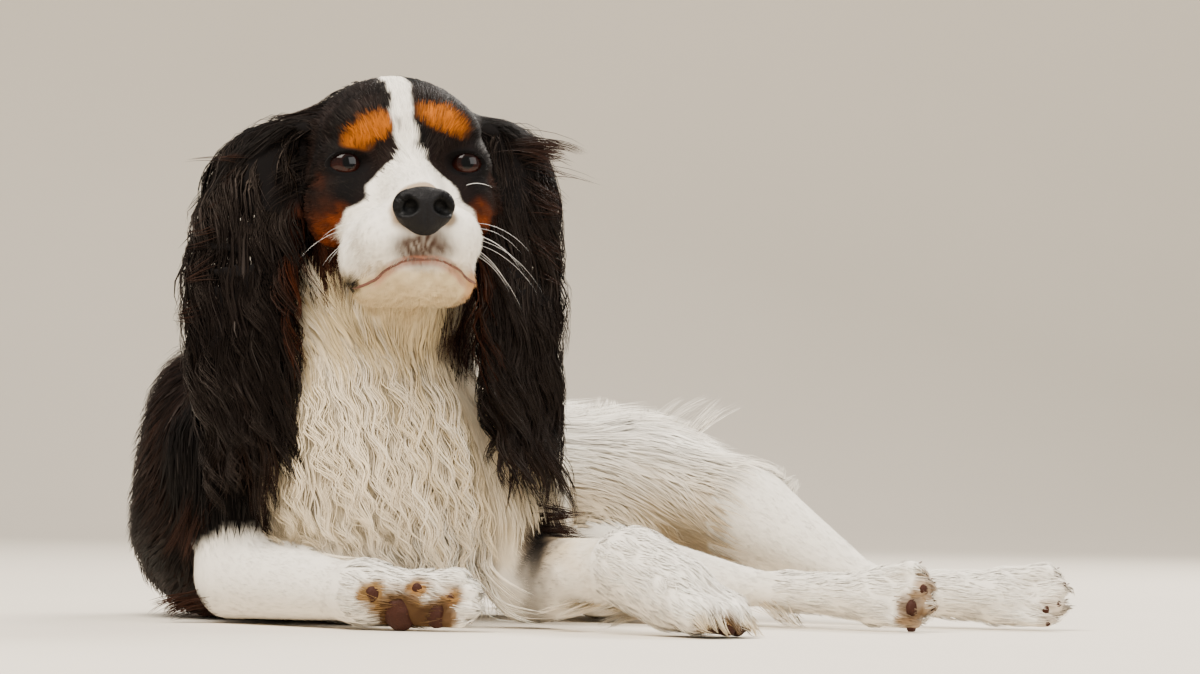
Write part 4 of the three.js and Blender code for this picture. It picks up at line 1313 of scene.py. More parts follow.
def gathered(path, look, rng):
    """Draws strands towards the middle strand of their lock, and waves each lock across its lie."""
    count, points, _ = path.shape
    locks = max(1, count // look["lock"])
    leaders = rng.choice(count, size=locks, replace=False)
    own = nearest_of(path[leaders, 0], path[:, 0])
    share = np.linspace(0, 1, points)[None, :, None]
    pull = look["gather"] * rng.uniform(0.7, 1.1, size=(count, 1, 1))
    path = path + (path[leaders[own]] - path) * np.clip(pull * share**1.2, 0, 0.96)
    if look["wave"]:
        along = unit(np.gradient(path, axis=1))
        across = unit(np.cross(along, way_out(skin_distance, path[:, 0])[:, None]))
        other = np.cross(along, across)
        phase = rng.uniform(0, 2 * math.pi, locks)[own]
        pace = look["bends"] * rng.uniform(0.7, 1.3, locks)[own][:, None]
        turn = 2 * math.pi * pace * share[..., 0] + phase[:, None]
        if look["flow"]:
            shared = 2.6 * waves(path[:, 0] * [1, 1, 0.5], 46, 21) + look["loose"] * (phase - math.pi)
            fallen = path[:, :1, 2] - path[..., 2]
            travelled = fallen * pace / look["bends"] - path[:, :1, 2]
            turn = shared[:, None] + 2 * math.pi / look["flow"] * travelled
        turn = turn + rng.normal(scale=0.2, size=(count, 1))
        size = look["wave"] * rng.uniform(0.6, 1.25, locks)[own][:, None] * share[..., 0] ** 0.6
        swing, lift = np.sin(turn) * size, np.cos(turn) * size * 0.55
        path = path + across * swing[..., None] + other * lift[..., None]
    path[:, 1:, 2] = np.maximum(path[:, 1:, 2], 0.7)
    return path, own


def strand_mesh(name, path, half_width, tones, tip_tones, uv, rng, soft=0.5):
    """Closed, three-sided strands that taper to a point, one for each row of path points.

    Their normals lean towards the skin's by the share in soft, as light in a coat spreads from hair to hair.
    """
    count, points, _ = path.shape
    rings = points - 1
    along = unit(np.gradient(path, axis=1))
    out = way_out(skin_distance, path[:, 1])
    across = unit(np.cross(along, out[:, None, :]))
    rise = np.cross(across, along)
    share = np.linspace(0, 1, points)
    taper = np.interp(share, [0, 0.35, 0.7, 1], [0.7, 1.0, 0.8, 0.0])
    wide = half_width[:, None, None] * taper[None, :rings, None]
    per = rings * 3 + 1
    vertices = np.empty((count, per, 3))
    normals = np.empty((count, per, 3))
    hair = np.zeros((count, per, 2))
    run = np.linalg.norm(np.diff(path, axis=1), axis=2).cumsum(1)
    for corner, (side, high) in enumerate(((1.0, -0.25), (-1.0, -0.25), (0.0, 0.45))):
        edge = path[:, :rings] + wide * (side * across[:, :rings] + high * rise[:, :rings])
        vertices[:, corner : rings * 3 : 3] = edge
        normals[:, corner : rings * 3 : 3] = unit(side * across[:, :rings] + high * rise[:, :rings])
        hair[:, corner : rings * 3 : 3, 0] = side * wide[..., 0]
        hair[:, corner + 3 : rings * 3 : 3, 1] = run[:, : rings - 1]
    vertices[:, -1] = path[:, -1]
    vertices[..., 2] = np.maximum(vertices[..., 2], 0.1)
    normals[:, -1] = rise[:, -1]
    normals = unit(normals * (1 - soft) + out[:, None] * soft)
    hair[:, -1, 1] = run[:, -1]
    hair += rng.uniform(0, 90, size=(count, 1, 2))
    faces = [(0, 2, 1)]
    for ring in range(rings - 1):
        low, high = ring * 3, ring * 3 + 3
        faces += [(low + i, low + (i + 1) % 3, high + (i + 1) % 3, high + i) for i in range(3)]
    last = (rings - 1) * 3
    faces += [(last + i, last + (i + 1) % 3, rings * 3) for i in range(3)]
    pattern = np.concatenate([np.array(f) for f in faces])
    loops = (pattern[None] + np.arange(count)[:, None] * per).ravel()
    mesh = mesh_of(name, to_frame(vertices.reshape(-1, 3)), loops, np.tile([len(f) for f in faces], count))
    mesh.polygons.foreach_set("use_smooth", [True] * len(mesh.polygons))
    mesh.normals_split_custom_set_from_vertices(normals.reshape(-1, 3).tolist())
    fade = np.append(np.repeat(share[:rings], 3), 1.0)[None, :, None]
    store_colours(mesh, "Coat", (tones[:, None] * (1 - fade) + tip_tones[:, None] * fade).reshape(-1, 3))
    patch = np.stack([np.linspace(-1, 1, per), np.cos(np.arange(per) * 2.1)], axis=1) * 0.0015
    baked = mesh.uv_layers.new(name="OFBake")
    baked.data.foreach_set("uv", (uv[:, None] + patch[None]).reshape(-1, 2)[loops].ravel())
    lines = mesh.uv_layers.new(name="Hair")
    lines.data.foreach_set("uv", hair.reshape(-1, 2)[loops].ravel())
    return mesh


def tinted(place, part, rng, own):
    """Colours of strands at root and tip: each lock and each strand differs a little. Roots are painted
    darker, as painted shade deep in the coat; tips are painted lighter, with a few glints, as painted light.
    """
    tones = markings(place, part)
    light = ramp(0.15, 0.5, tones.mean(1, keepdims=True))
    lock = rng.normal(scale=1, size=own.max() + 1)[own][:, None]
    single = rng.normal(scale=1, size=(len(place), 1))
    varied = 1 + (0.04 + 0.12 * (1 - light)) * (lock + 0.8 * single)
    # Painted shade: roots darker than the coat's colour, as the shade deep in the coat
    root = tones * varied * (0.74 + 0.24 * light)
    # Painted light: tips lighter than the coat's colour
    tip = tones * varied * (1.22 - 0.16 * light)
    # Painted highlight: a faint warm glint on the tips of some dark strands
    tip = tip + 0.014 * np.maximum(single - 0.4, 0) * (1 - light) * np.array([1.0, 0.85, 0.75])
    return np.clip(root, 0, 1), np.clip(tip, 0, 1)


# The most triangles in one piece of the coat
PIECE_TRIANGLES = 195000


def make_layer(name):
    """One layer of the coat: strands at random roots, combed, gathered in locks and tinted."""
    sizes = bpy.context.scene.spaniel_sizes
    look = PLAIN_LOOK | dict(zip(LOOKS, LAYERS[name]))
    zone, segments = look["zone"], look["segments"]
    rng = np.random.default_rng(sizes.seed + 31 * list(LAYERS).index(name))
    place, uv, part = roots(zone, look["density"] * sizes.strand_share, rng)
    ears = [(PART_NAMES.index(ear_name), ear) for ear_name, ear in EARS.items()] if zone == "ear" else []
    if ears:
        outer = np.zeros(len(place), bool)
        for number, ear in ears:
            outer[part == number] = places_on_ear(place[part == number], ear)[3]
        keep = outer | (rng.random(len(place)) < INNER_EAR_SHARE)
        place, uv, part = place[keep], uv[keep], part[keep]
    longer = sizes.coat_length * rng.uniform(0.72, 1.2, len(place)) * length_share(place, zone)
    length = look["length"] * longer
    rise = look["rise"] * rng.uniform(0.45, 1.1, len(place)) * np.minimum(longer, 1.1)
    rise *= 1 + 1.2 * ramp(92, 116, place[:, 2]) * ramp(235, 255, place[:, 1])
    if ears:
        path = np.empty((len(place), segments + 1, 3))
        for number, ear in ears:
            on = part == number
            path[on] = hung_on_ear(place[on], ear, length[on], rise[on], segments)
    else:
        path = combed(place, length, rise, segments, look["stray"], rng)
    path, own = gathered(path, look, rng)
    coloured = place if zone in ("ear", "leg", "body", "neck") else path[:, (segments + 1) // 2]
    root, tip = (tone * look["tint"] for tone in tinted(coloured, part, rng, own))
    half = look["half_width"] * rng.uniform(0.75, 1.25, len(place))
    coat = coat_material("glossy_ear_hair" if ears else "silky_hair")
    per_piece = PIECE_TRIANGLES // (segments * 6 - 2)
    for number, start in enumerate(range(0, len(place), per_piece)):
        rows = slice(start, start + per_piece)
        tones = root[rows], tip[rows]
        numbered = f"{name}_{number + 1}"
        mesh = strand_mesh(numbered, path[rows], half[rows], *tones, uv[rows], rng, look["soft"])
        piece_from(mesh, coat)


def make_layers(zones):
    """All layers that grow in some zones."""
    for name, (zone, *_) in LAYERS.items():
        if zone in zones:
            make_layer(name)


# Loose wisps: where their roots start and how far along they run, which way they fly, length, number of
# hairs, colours at root and tip, and how far the roots spread
HERE = (0, 0, 0)
EAR_WISPS = [
    ((-50, 106, 248), (8, 0, -8), (0.95, -0.1, 0.28), 34, 150, "black", "brown", 5),
    ((-40, 104, 242), (0, 0, -60), (1.0, -0.1, -0.4), 22, 130, "black", "brown", 4),
    ((-62, 98, 205), HERE, (-0.05, -0.2, -1.0), 60, 170, "black", "dark_rust", 7),
    ((-64, 92, 178), (0, 0, -34), (0.12, -0.12, -1.0), 46, 300, "black", "brown", 7),
    ((-138, 84, 190), HERE, (0.2, -0.2, -1.0), 34, 150, "dark_rust", "brown", 8),
    ((-184, 92, 242), (-16, -6, -90), (-0.8, -0.1, -0.5), 17, 130, "black", "brown", 3),
    ((-182, 92, 238), HERE, (-0.95, -0.1, 0.12), 24, 16, "black", "brown", 4),
]
FORELEG_WISPS = [
    ((-205, 92, 7), HERE, (-1.0, -0.3, -0.02), 38, 110, "brown", "brown", 6),
    ((-206, 86, 70), HERE, (-0.25, -0.2, -1.0), 40, 110, "black", "brown", 6),
    ((-30, 68, 60), (14, 2, 0), (1.0, -0.12, 0.02), 26, 240, "black", "brown", 3),
    ((-10, 72, 62), (12, 2, 1), (1.0, -0.08, -0.04), 22, 140, "brown", "stain", 3),
    ((22, 30, 14), HERE, (-0.9, -0.25, -0.3), 26, 110, "cream", "white", 5),
    ((-2, 48, 12), HERE, (-0.7, -0.5, -0.3), 22, 110, "cream", "white", 6),
]
FLANK_WISPS = [
    ((-20, 284, 126), (30, 0, -6), (0.45, 0.0, 0.9), 15, 200, "white", "white", 4),
    ((8, 284, 120), (30, 0, -18), (0.6, 0.0, 0.8), 17, 220, "white", "white", 4),
    ((36, 280, 104), (38, -8, -14), (0.65, 0.0, 0.75), 15, 180, "white", "white", 4),
    ((74, 268, 90), (40, -26, -16), (0.75, 0.0, 0.6), 14, 160, "white", "white", 4),
    ((36, 281, 108), HERE, (0.5, 0.0, 0.85), 30, 36, "white", "white", 3),
    ((50, 278, 100), HERE, (0.55, 0.0, 0.85), 34, 44, "white", "white", 3),
    ((63, 275, 94), HERE, (0.6, 0.0, 0.8), 24, 30, "white", "white", 3),
]
FOOT_WISPS = [
    ((90, 150, 8), HERE, (0.4, -0.3, -0.5), 20, 90, "cream", "white", 6),
    ((34, 10, 36), (6, -6, -8), (0.3, -0.7, -0.65), 16, 120, "white", "white", 4),
    ((46, -20, 14), (14, 4, -1), (0.1, -0.55, -0.8), 14, 150, "white", "cream", 3),
    ((68, -14, 14), (6, 18, -2), (0.6, -0.3, -0.7), 14, 160, "white", "cream", 3),
]
WISPS = EAR_WISPS + FORELEG_WISPS + FLANK_WISPS + FOOT_WISPS


def uv_near(p):
    """The places on the skin's unwrap that lie nearest to rows of points."""
    middles = SKIN["points"][SKIN["corners"]].mean(1)
    return SKIN["uv"][nearest_of(middles, p)].mean(1)


def make_wisps():
    """Loose wisps, each drawn together a little round a few of its hairs."""
    rng = np.random.default_rng(bpy.context.scene.spaniel_sizes.seed + 77)
    paths, roots_of, tips_of = [], [], []
    share = np.linspace(0, 1, 6)[None, :, None]
    for start, run, way, length, count, root_tone, tip_tone, spread in WISPS:
        begin = np.array(start, float) + rng.random((count, 1)) * np.array(run)
        begin = begin + rng.normal(scale=(spread, spread, spread * 0.6), size=(count, 3))
        begin = settle(skin_distance, begin, level=-0.5, rounds=5)
        ways = unit(unit(np.array(way, float)) + rng.normal(scale=0.11, size=(count, 3)))
        long = length * rng.uniform(0.5, 1.15, size=(count, 1, 1))
        bend = rng.normal(scale=0.08, size=(count, 1, 3)) + rng.normal(scale=0.15, size=3) + [0, 0, -0.1]
        path = begin[:, None] + long * (ways[:, None] * share + bend * share**2)
        leaders = path[rng.integers(0, count, size=max(2, count // 12))]
        path = path + (leaders[nearest(begin, leaders[:, 0])] - path) * 0.75 * share
        path[..., 2] = np.maximum(path[..., 2], 0.8)
        paths.append(path)
        varied = rng.uniform(0.85, 1.1, size=(count, 1))
        roots_of.append(np.clip(colour(root_tone) * varied, 0, 1))
        tips_of.append(np.clip(colour(tip_tone) * varied, 0, 1))
    path = np.concatenate(paths)
    half = rng.uniform(0.14, 0.28, len(path))
    uv = uv_near(path[:, 0])
    mesh = strand_mesh("wisps", path, half, np.concatenate(roots_of), np.concatenate(tips_of), uv, rng, 0.3)
    piece_from(mesh, coat_material("silky_hair"))


# Eyes: degrees from the gaze over which the pupil and the iris end, and the colour beyond the iris
PUPIL_ANGLE, IRIS_ANGLE, PAST_IRIS = (14, 17), (50, 58), "#120b0a"


def make_eyes():
    """Wet eyes: a large dark brown iris under a clear cornea, lighter below where the light leaves it."""
    made = painted_material("wet_eye", {"Roughness": 0.08, "IOR": 1.37, "Specular IOR Level": 0.36}, "Tone")
    points, triangles = unit_ball(6)
    for side, name in ((-1, "eye_right"), (1, "eye_left")):
        gaze = unit(np.array([side * -0.06 + 0.06, -1, -0.03]))
        angle = np.degrees(np.arccos(np.clip(points @ gaze, -1, 1)))
        p = points * (EYE_RADIUS - 0.1) * (1 + 0.04 * (1 - ramp(20, 40, angle)))[:, None]
        around = np.arctan2(points[:, 2], points[:, 0])
        fibres = 0.8 + 0.3 * np.sin(around * 41 + 3 * np.sin(around * 7)) * np.sin(around * 23 + 1)
        glow = 0.3 + 0.9 * ramp(0.1, -0.5, points[:, 2])
        iris = colour("iris") * (fibres * glow)[:, None]
        pupil = ramp(*PUPIL_ANGLE, angle)[:, None]
        edge = ramp(*IRIS_ANGLE, angle)[:, None]
        placed = to_frame(p @ FACE_TURN + on_face(side * EYE_OUT, EYE_DEPTH, 0))
        mesh = mesh_of_balls(name + "_ball", [placed], triangles)
        store_colours(mesh, "Tone", (iris * pupil + 0.0015) * (1 - edge) + linear(PAST_IRIS) * edge)
        piece_from(mesh, made, [name])
    make_eye_corners()


def make_eye_corners():
    """The moist pink fold in the corner of each eye that is nearer the nose."""
    settings = {"Roughness": 0.25, "IOR": 1.4, "Coat Weight": 0.6}
    made = clouded_material("moist_eye_fold", settings, 900.0, 3.0, linear("#34160f"), linear("#6e3a30"))[0]
    points, triangles = unit_ball(4)
    shaped = points * [1.5, 1.6, 2.4] + 0.15 * np.stack([waves(points * 3, 2.5, i) for i in range(3)], axis=1)
    for side, name, out, deep in ((-1, "eye_fold_right", 9.3, 8.2), (1, "eye_fold_left", 8.6, 8.0)):
        centre = on_face(side * (EYE_OUT - out), EYE_DEPTH - deep, -1.0)
        mesh = mesh_of_balls(name, [to_frame(shaped @ FACE_TURN + centre)], triangles)
        piece_from(mesh, made)


def lid_line(side, count):
    """The edge of an eye's opening on the eyeball: an almond, lower and narrower at its inner corner."""
    turn = np.linspace(0, 2 * math.pi, count, endpoint=False)
    x = OPENING_HALF * np.cos(turn)
    half_height = np.where(np.sin(turn) > 0, OPENING_UPPER, OPENING_LOWER)
    z = half_height * np.sin(turn) * (1 - 0.22 * np.cos(turn) ** 4)
    z = z - 0.9 * np.maximum(-np.cos(turn), 0) ** 2 + OPENING_DROP
    x = x + OPENING_OUT - EYE_OUT
    y = -np.sqrt(np.maximum((EYE_RADIUS + 0.3) ** 2 - x**2 - z**2, 1))
    return np.stack([x * side, y, z], axis=1)


# A lid rim's section: how far out from the opening's edge and how far off the eyeball, and the tone of the
# painted sheen on its wet lower edge
LID_SECTION = [(-0.1, -0.9), (-0.1, 0.3), (0.1, 0.75), (0.5, 1.05), (0.9, 1.05), (1.3, 0.6), (1.5, -0.6)]
WET_LID_SHEEN = "#3e322d"


def make_lids():
    """Black lid rims: a rounded band round each opening, painted paler along the lower edge as the sheen of
    its wet margin.
    """
    settings = {"Roughness": 0.5, "IOR": 1.4, "Specular IOR Level": 0.3}
    made = painted_material("dark_lid_skin", settings, "Tone", 900.0, 0.5)
    for side, name in ((-1, "lids_right"), (1, "lids_left")):
        edge = lid_line(side, 72)
        out, outward = unit(edge), unit(edge * [1, 0, 1])
        centre = on_face(side * EYE_OUT, EYE_DEPTH, 0)
        bm = swept([(edge + outward * wide + out * high) @ FACE_TURN + centre for wide, high in LID_SECTION])
        bmesh.ops.bridge_loops(bm, edges=[e for e in bm.edges if e.is_boundary])
        mesh = mesh_from(bm, name)
        p = mesh_points(mesh)
        off = (p - centre) @ FACE_TURN.T
        middle = [side * (OPENING_OUT - EYE_OUT), OPENING_DROP]
        across = np.linalg.norm((off[:, [0, 2]] - middle) / [OPENING_HALF, OPENING_LOWER], axis=1)
        tones = colour("nose") * 0.5
        # Painted sheen: the wet margin of the lower edge is painted paler
        wet_sheen = ramp(-2.5, -4.5, off[:, 2]) * (1 - ramp(1.02, 1.1, across))
        store_colours(mesh, "Tone", tones + (linear(WET_LID_SHEEN) - tones) * wet_sheen[:, None])
        set_mesh_points(mesh, to_frame(p))
        piece_from(mesh, made)


# Nose
def nostrils(q):
    rows = []
    for s in (-1, 1):
        hole = ball((s * 8.2, NOSE_DEPTH - 8.6, NOSE_DROP + 1.6), (4.3, 6.5, 4.0))(q)
        inner, outer = (s * 9.5, NOSE_DEPTH - 8, NOSE_DROP - 1), (s * 15, NOSE_DEPTH - 2.5, NOSE_DROP - 1.2)
        slit = limb(inner, outer, 1.5, 0.9)(q)
        rows.append(smooth_min(hole, slit, 3.0))
    return np.minimum(*rows)


def nose_distance(q):
    """The nose leather in the frame of the face, with nostrils, side slits and the groove between."""
    deep, low = NOSE_DEPTH, NOSE_DROP
    body = blend(
        3.0,
        ball((0, deep, low + 3.2), (14.7, 9, 9.6)),
        *pair(lambda s: ball((s * 8.8, deep - 2.5, low + 2.2), (6.4, 6.9, 7.8))),
        ball((0, deep + 0.6, low - 2.6), (12.0, 8.6, 7.4)),
        ball((0, deep + 0.2, low - 6.6), (7.0, 7.8, 5.8)),
    )(q)
    body = -smooth_min(-body, nostrils(q), 1.8)
    groove = limb((0, deep - 10.0, low + 2), (0, deep - 6.6, low - 13), 0.4, 1.0)(q)
    return -smooth_min(-body, groove, 1.2)


def make_nose():
    """The nose leather: finely pebbled, dark and dry, with its nostrils."""
    points, triangles = unit_ball(6)
    mesh = mesh_of_balls("nose_leather", [points * [12, 8, 10] + [0, NOSE_DEPTH, NOSE_DROP]], triangles)
    for _ in range(3):
        set_mesh_points(mesh, settle(nose_distance, mesh_points(mesh), rounds=4))
        relaxed(mesh, 3)
    q = settle(nose_distance, mesh_points(mesh), rounds=2)
    set_mesh_points(mesh, to_frame(q @ FACE_TURN + FACE_AT))
    # The insides of the nostrils are painted near black: painted shade in the holes
    store_colours(mesh, "Tone", 0.03 + 0.97 * ramp(0.1, 1.6, nostrils(q))[:, None])
    piece_from(mesh, leather_material("pebbled_nose_leather", "nose", 0.85, 0.2, 0.55), ["nose"])


# Mouth: radius and sides of the tube along the lips' edge, and the level of its middle over the skin
LIP_RADIUS, LIP_SIDES, LIP_LEVEL = 0.85, 8, -0.35


def make_mouth():
    """Lips: a thin moist edge that follows the line of the mouth between the hairs."""
    line = settle(skin_distance, MOUTH, level=LIP_LEVEL)
    radius = LIP_RADIUS * np.clip((1 - np.abs(np.linspace(-1, 1, len(line)))) * 6, 0.25, 1)
    along = unit(np.gradient(line, axis=0))
    across = unit(np.cross(along, np.array([0.05, 0.3, 0.95])))
    other = np.cross(along, across)
    turn = 2 * math.pi * np.arange(LIP_SIDES)[:, None] / LIP_SIDES
    frames = zip(line, radius, across, other)
    bm = swept([place + half * (np.cos(turn) * u + np.sin(turn) * w) for place, half, u, w in frames])
    bmesh.ops.holes_fill(bm, edges=[e for e in bm.edges if e.is_boundary], sides=0)
    mesh = mesh_from(bm, "lip_edge")
    set_mesh_points(mesh, to_frame(mesh_points(mesh)))
    store_colours(mesh, "Tone", 1.0)
    piece_from(mesh, leather_material("moist_lip_edge", "lip_edge", 0.7, 0.06, 0.4))


# Feet
def pad_turn(leg):
    """Rows: across the sole, along the foot and out of the sole."""
    knuckles, toes = (np.array(leg["joints"][i][0], float) for i in (3, 4))
    sole = unit(np.array(leg["sole"], float))
    along = unit(toes - knuckles - sole * ((toes - knuckles) @ sole))
    return np.stack([np.cross(along, sole), along, sole])


def make_pads():
    """Paw pads: tough pebbled skin, sunk between the stained hairs of each sole."""
    made = leather_material("pebbled_paw_pad", "pad", 1.1, 0.22, 0.62)
    points, triangles = unit_ball(4)
    for leg_name, leg in LEGS.items():
        rows = []
        for place, size in leg["pads"]:
            place = settle(skin_distance, np.array([place], float), level=-0.25 * size, rounds=8)[0]
            shaped = points * [size, size * 0.86, size * 0.6]
            if size > 6:
                dent = np.cos(shaped[:, 0] / size * 2.2) * ramp(0, 0.8 * size, shaped[:, 1])
                shaped[:, 1] -= 0.25 * size * dent
            shaped = shaped + 0.03 * size * np.stack([waves(shaped + place, 5, i) for i in range(3)], axis=1)
            final = shaped @ pad_turn(leg) + place
            final[:, 2] = np.maximum(final[:, 2], 0.3)
            rows.append(to_frame(final))
        mesh = mesh_of_balls("pads_" + leg_name, rows, triangles)
        store_colours(mesh, "Tone", 1.0)
        piece_from(mesh, made)


# Claws, in millimetres: how long, how far back in the toe they start, how far they reach and bend down
CLAW_LENGTH, CLAW_SUNK, CLAW_REACH, CLAW_BEND = 7, 5.2, 6.5, 3.0


def make_claws():
    """Claws: short curved horn, dark at the root, that shows between the toes' hair."""
    settings = {"Roughness": 0.35, "IOR": 1.54}
    made = clouded_material("claw_horn", settings, 420.0, 3.0, linear("#2c211c"), linear("#7d6a58"))[0]
    for leg_name, leg in LEGS.items():
        tips, radius = toe_tips(leg)
        across, along, sole = pad_turn(leg)
        cone = {"cap_ends": True, "segments": 10, "radius1": 1.3, "radius2": 0.3, "depth": CLAW_LENGTH}
        bm = bmesh.new()
        for _, tip in tips:
            start = tip + along * (radius - CLAW_SUNK) - sole * 1.0
            for vert in bmesh.ops.create_cone(bm, **cone)["verts"]:
                share = vert.co.z / CLAW_LENGTH + 0.5
                out = CLAW_BEND * share * share + vert.co.y
                co = start + along * (CLAW_REACH * share) + sole * out + across * vert.co.x
                co[2] = max(co[2], 0.4)
                vert.co = Vector(co)
        mesh = mesh_from(bm, "claws_" + leg_name)
        set_mesh_points(mesh, to_frame(mesh_points(mesh)))
        piece_from(mesh, made)


def make_whiskers():
    """Whiskers: stiff white bristles that spring from the muzzle's sides and bend back and down."""
    sizes = bpy.context.scene.spaniel_sizes
    rng = np.random.default_rng(sizes.seed + 5)
    made = material("whisker_bristle", {"Roughness": 0.35, "Base Color": (0.9, 0.88, 0.84, 1)})[0]
    starts, ways, lengths = [], [], []
    for side, rows, shorter in ((-1, 2, 0.7), (1, 3, 1.0)):
        for row in range(rows):
            for column in range(rows):
                starts.append(on_face(side * (27 + 3 * column), -34 + 9 * column, -37 - 6 * row))
                ways.append((np.array([side * 1.0, 0.35 + 0.15 * column, -0.1 - 0.22 * row])) @ FACE_TURN)
                lengths.append(sizes.whisker_length * rng.uniform(0.5, 1.0) * shorter)
    starts.append(on_face(28, -10, -13))
    ways.append(np.array([1.0, -0.2, 0.25]) @ FACE_TURN)
    lengths.append(0.3 * sizes.whisker_length)
    starts = settle(skin_distance, np.array(starts), level=-0.8)
    out = way_out(skin_distance, starts)
    way = unit(unit(np.array(ways)) + 0.5 * out + rng.normal(scale=0.08, size=starts.shape))
    path = [starts]
    for _ in range(9):
        way = unit(way + np.array([0, 0.02, -0.11]))
        path.append(path[-1] + way * (np.array(lengths) / 9)[:, None])
    half = np.full(len(starts), 0.13)
    tones = np.tile(linear("#f4f0e8"), (len(starts), 1))
    mesh = strand_mesh("whiskers", np.stack(path, axis=1), half, tones, tones, uv_near(starts), rng)
    piece_from(mesh, made)


# Stage
def soft_light(name, place, target, size, power, tint):
    """A rectangular light that points at a target."""
    data = bpy.data.lights.new(name, "AREA")
    data.shape, data.size, data.size_y = "RECTANGLE", size[0], size[1]
    data.energy, data.color = power, tint
    obj = bpy.data.objects.new(name, data)
    obj.location = place
    obj.rotation_euler = (Vector(target) - obj.location).to_track_quat("-Z", "Y").to_euler()
    bpy.context.scene.collection.objects.link(obj)


# The floor in metres: where it starts to curve up behind the dog, and the radius of that curve
CURVE_START, CURVE_RADIUS = 2.4, 0.9
# Lights: place, target, size, power and tint
LIGHTS = {
    "key_light": ((-0.7, -1.1, 2.1), (-0.05, 0.0, 0.12), (1.8, 1.5), 140, (1.0, 0.94, 0.86)),
    "fill_light": ((1.7, -1.3, 1.1), (0, 0, 0.1), (1.6, 1.2), 30, (1.0, 0.99, 0.97)),
    "rim_light": ((0.9, 1.3, 1.5), (0.05, 0.05, 0.08), (1.4, 0.8), 72, (1.0, 0.95, 0.88)),
}
AIR_TINT, AIR_STRENGTH = (1.0, 0.955, 0.895, 1), 0.56
# The photograph's camera: its place in the drawing, its turns, and its sensor and lens in millimetres
CAMERA_AT = (0, -2200, 80.8)
CAMERA_PITCH, CAMERA_ROLL = math.atan(133 / 4500), math.radians(0.9)
CAMERA_SENSOR, CAMERA_LENS = 36.0, 135.0


def make_stage():
    """A pale floor that curves up far behind, soft studio light and the photograph's camera."""
    scene = bpy.context.scene
    bm = bmesh.new()
    for vert in bmesh.ops.create_grid(bm, x_segments=1, y_segments=48, size=1)["verts"]:
        run = (vert.co.y + 1) * 3.6 - 3.4
        bend = max(run - CURVE_START, 0)
        angle = min(bend / CURVE_RADIUS, math.pi / 2)
        rise = CURVE_RADIUS * (1 - math.cos(angle)) + max(bend - CURVE_RADIUS * math.pi / 2, 0)
        vert.co = Vector((vert.co.x * 6, min(run, CURVE_START) + CURVE_RADIUS * math.sin(angle), rise))
    mesh = mesh_from(bm, "floor")
    pale = colour("floor")
    made = clouded_material("matt_studio_floor", {"Roughness": 0.85}, 3.0, 4.0, pale * 0.92, pale)[0]
    mesh.materials.append(made)
    mesh.polygons.foreach_set("use_smooth", [True] * len(mesh.polygons))
    floor = bpy.data.objects.new("floor", mesh)
    scene.collection.objects.link(floor)

    scene.world = bpy.data.worlds.new("studio_air")
    scene.world.use_nodes = True
    air = scene.world.node_tree.nodes["Background"]
    air.inputs["Color"].default_value = AIR_TINT
    air.inputs["Strength"].default_value = AIR_STRENGTH
    for name, settings in LIGHTS.items():
        soft_light(name, *settings)

    data = bpy.data.cameras.new("camera")
    data.sensor_width, data.lens = CAMERA_SENSOR, CAMERA_LENS
    camera = bpy.data.objects.new("camera", data)
    turn = Matrix.Rotation(math.pi / 2 + CAMERA_PITCH, 4, "X") @ Matrix.Rotation(CAMERA_ROLL, 4, "Z")
    camera.matrix_world = Matrix.Translation(Vector(to_frame(CAMERA_AT))) @ turn
    scene.collection.objects.link(camera)
    scene.camera = camera


# Operators
class SPANIEL_OT_stage(bpy.types.Operator):
    """Floor, lights and camera"""

    bl_idname = "spaniel.stage"
    bl_label = "Stage"

    def execute(self, context):
        make_stage()
        return {"FINISHED"}


class SPANIEL_OT_skin(bpy.types.Operator):
    """One skin for the whole body"""

    bl_idname = "spaniel.skin"
    bl_label = "Skin"

    def execute(self, context):
        make_skin()
        return {"FINISHED"}


class SPANIEL_OT_eyes(bpy.types.Operator):
    """Both eyeballs and their corners"""

    bl_idname = "spaniel.eyes"
    bl_label = "Eyes"

    def execute(self, context):
        make_eyes()
        return {"FINISHED"}


class SPANIEL_OT_lids(bpy.types.Operator):
    """The dark rims round both eyes"""

    bl_idname = "spaniel.lids"
    bl_label = "Lids"

    def execute(self, context):
        make_lids()
        return {"FINISHED"}


class SPANIEL_OT_nose(bpy.types.Operator):
    """The nose leather with its nostrils"""

    bl_idname = "spaniel.nose"
    bl_label = "Nose"

    def execute(self, context):
        make_nose()
        return {"FINISHED"}


class SPANIEL_OT_mouth(bpy.types.Operator):
    """The lips"""

    bl_idname = "spaniel.mouth"
    bl_label = "Mouth"

    def execute(self, context):
        make_mouth()
        return {"FINISHED"}


class SPANIEL_OT_pads(bpy.types.Operator):
    """The pads of all four feet"""

    bl_idname = "spaniel.pads"
    bl_label = "Pads"

    def execute(self, context):
        make_pads()
        return {"FINISHED"}


class SPANIEL_OT_claws(bpy.types.Operator):
    """The claws of all four feet"""

    bl_idname = "spaniel.claws"
    bl_label = "Claws"

    def execute(self, context):
        make_claws()
        return {"FINISHED"}


class SPANIEL_OT_whiskers(bpy.types.Operator):
    """The bristles of the muzzle and brows"""

    bl_idname = "spaniel.whiskers"
    bl_label = "Whiskers"

    def execute(self, context):
        make_whiskers()
        return {"FINISHED"}


class SPANIEL_OT_face_coat(bpy.types.Operator):
    """Short hair of the muzzle, face and skull"""

    bl_idname = "spaniel.face_coat"
    bl_label = "Face coat"

    def execute(self, context):
        make_layers(["muzzle", "face", "skull"])
        return {"FINISHED"}


class SPANIEL_OT_leg_coat(bpy.types.Operator):
    """Short hair of the legs and feet"""

    bl_idname = "spaniel.leg_coat"
    bl_label = "Leg coat"

    def execute(self, context):
        make_layers(["leg", "foot"])
        return {"FINISHED"}


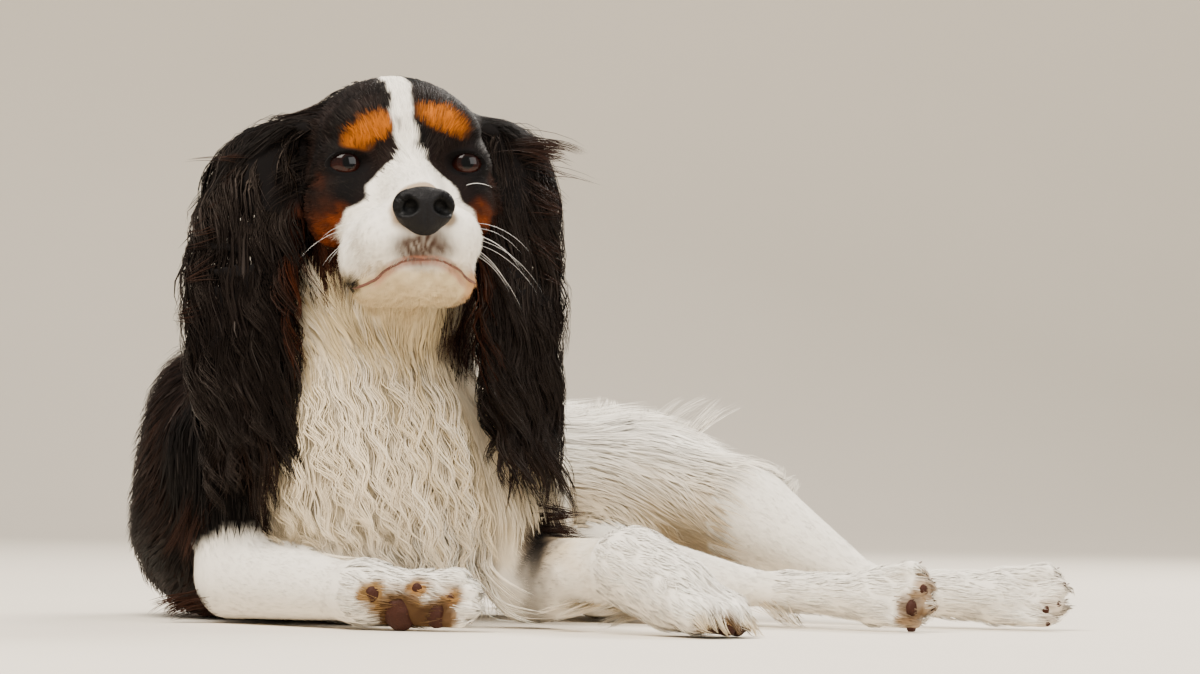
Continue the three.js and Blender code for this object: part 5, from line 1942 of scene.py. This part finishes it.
class SPANIEL_OT_ear_coat(bpy.types.Operator):
    """Long waved hair of the ears"""

    bl_idname = "spaniel.ear_coat"
    bl_label = "Ear coat"

    def execute(self, context):
        make_layers(["ear"])
        return {"FINISHED"}


class SPANIEL_OT_chest_coat(bpy.types.Operator):
    """Long curled hair of the neck and chest"""

    bl_idname = "spaniel.chest_coat"
    bl_label = "Chest coat"

    def execute(self, context):
        make_layers(["neck", "chest"])
        return {"FINISHED"}


class SPANIEL_OT_body_coat(bpy.types.Operator):
    """Hair of the trunk and the tail"""

    bl_idname = "spaniel.body_coat"
    bl_label = "Body coat"

    def execute(self, context):
        make_layers(["body", "tail"])
        return {"FINISHED"}


class SPANIEL_OT_wisps(bpy.types.Operator):
    """Loose hairs that break the outline"""

    bl_idname = "spaniel.wisps"
    bl_label = "Wisps"

    def execute(self, context):
        make_wisps()
        return {"FINISHED"}


STEPS = [
    SPANIEL_OT_stage,
    SPANIEL_OT_skin,
    SPANIEL_OT_eyes,
    SPANIEL_OT_lids,
    SPANIEL_OT_nose,
    SPANIEL_OT_mouth,
    SPANIEL_OT_pads,
    SPANIEL_OT_claws,
    SPANIEL_OT_whiskers,
    SPANIEL_OT_face_coat,
    SPANIEL_OT_leg_coat,
    SPANIEL_OT_ear_coat,
    SPANIEL_OT_chest_coat,
    SPANIEL_OT_body_coat,
    SPANIEL_OT_wisps,
]


class SPANIEL_PT_panel(bpy.types.Panel):
    """Lists the model's sizes, colours and steps."""

    bl_label = "Spaniel"
    bl_idname = "SPANIEL_PT_panel"
    bl_space_type = "VIEW_3D"
    bl_region_type = "UI"
    bl_category = "Spaniel"

    def draw(self, context):
        for group in (context.scene.spaniel_sizes, context.scene.spaniel_colours):
            for name in group.__annotations__:
                self.layout.prop(group, name)
        for step in STEPS:
            self.layout.operator(step.bl_idname)


CLASSES = [SpanielSizes, SpanielColours, *STEPS, SPANIEL_PT_panel]


def register():
    for made in CLASSES:
        bpy.utils.register_class(made)
    bpy.types.Scene.spaniel_sizes = PointerProperty(type=SpanielSizes)
    bpy.types.Scene.spaniel_colours = PointerProperty(type=SpanielColours)


def unregister():
    del bpy.types.Scene.spaniel_sizes
    del bpy.types.Scene.spaniel_colours
    for made in reversed(CLASSES):
        bpy.utils.unregister_class(made)


def main():
    register()
    for step in STEPS:
        group, name = step.bl_idname.split(".")
        getattr(getattr(bpy.ops, group), name)()


if __name__ == "__main__":
    main()
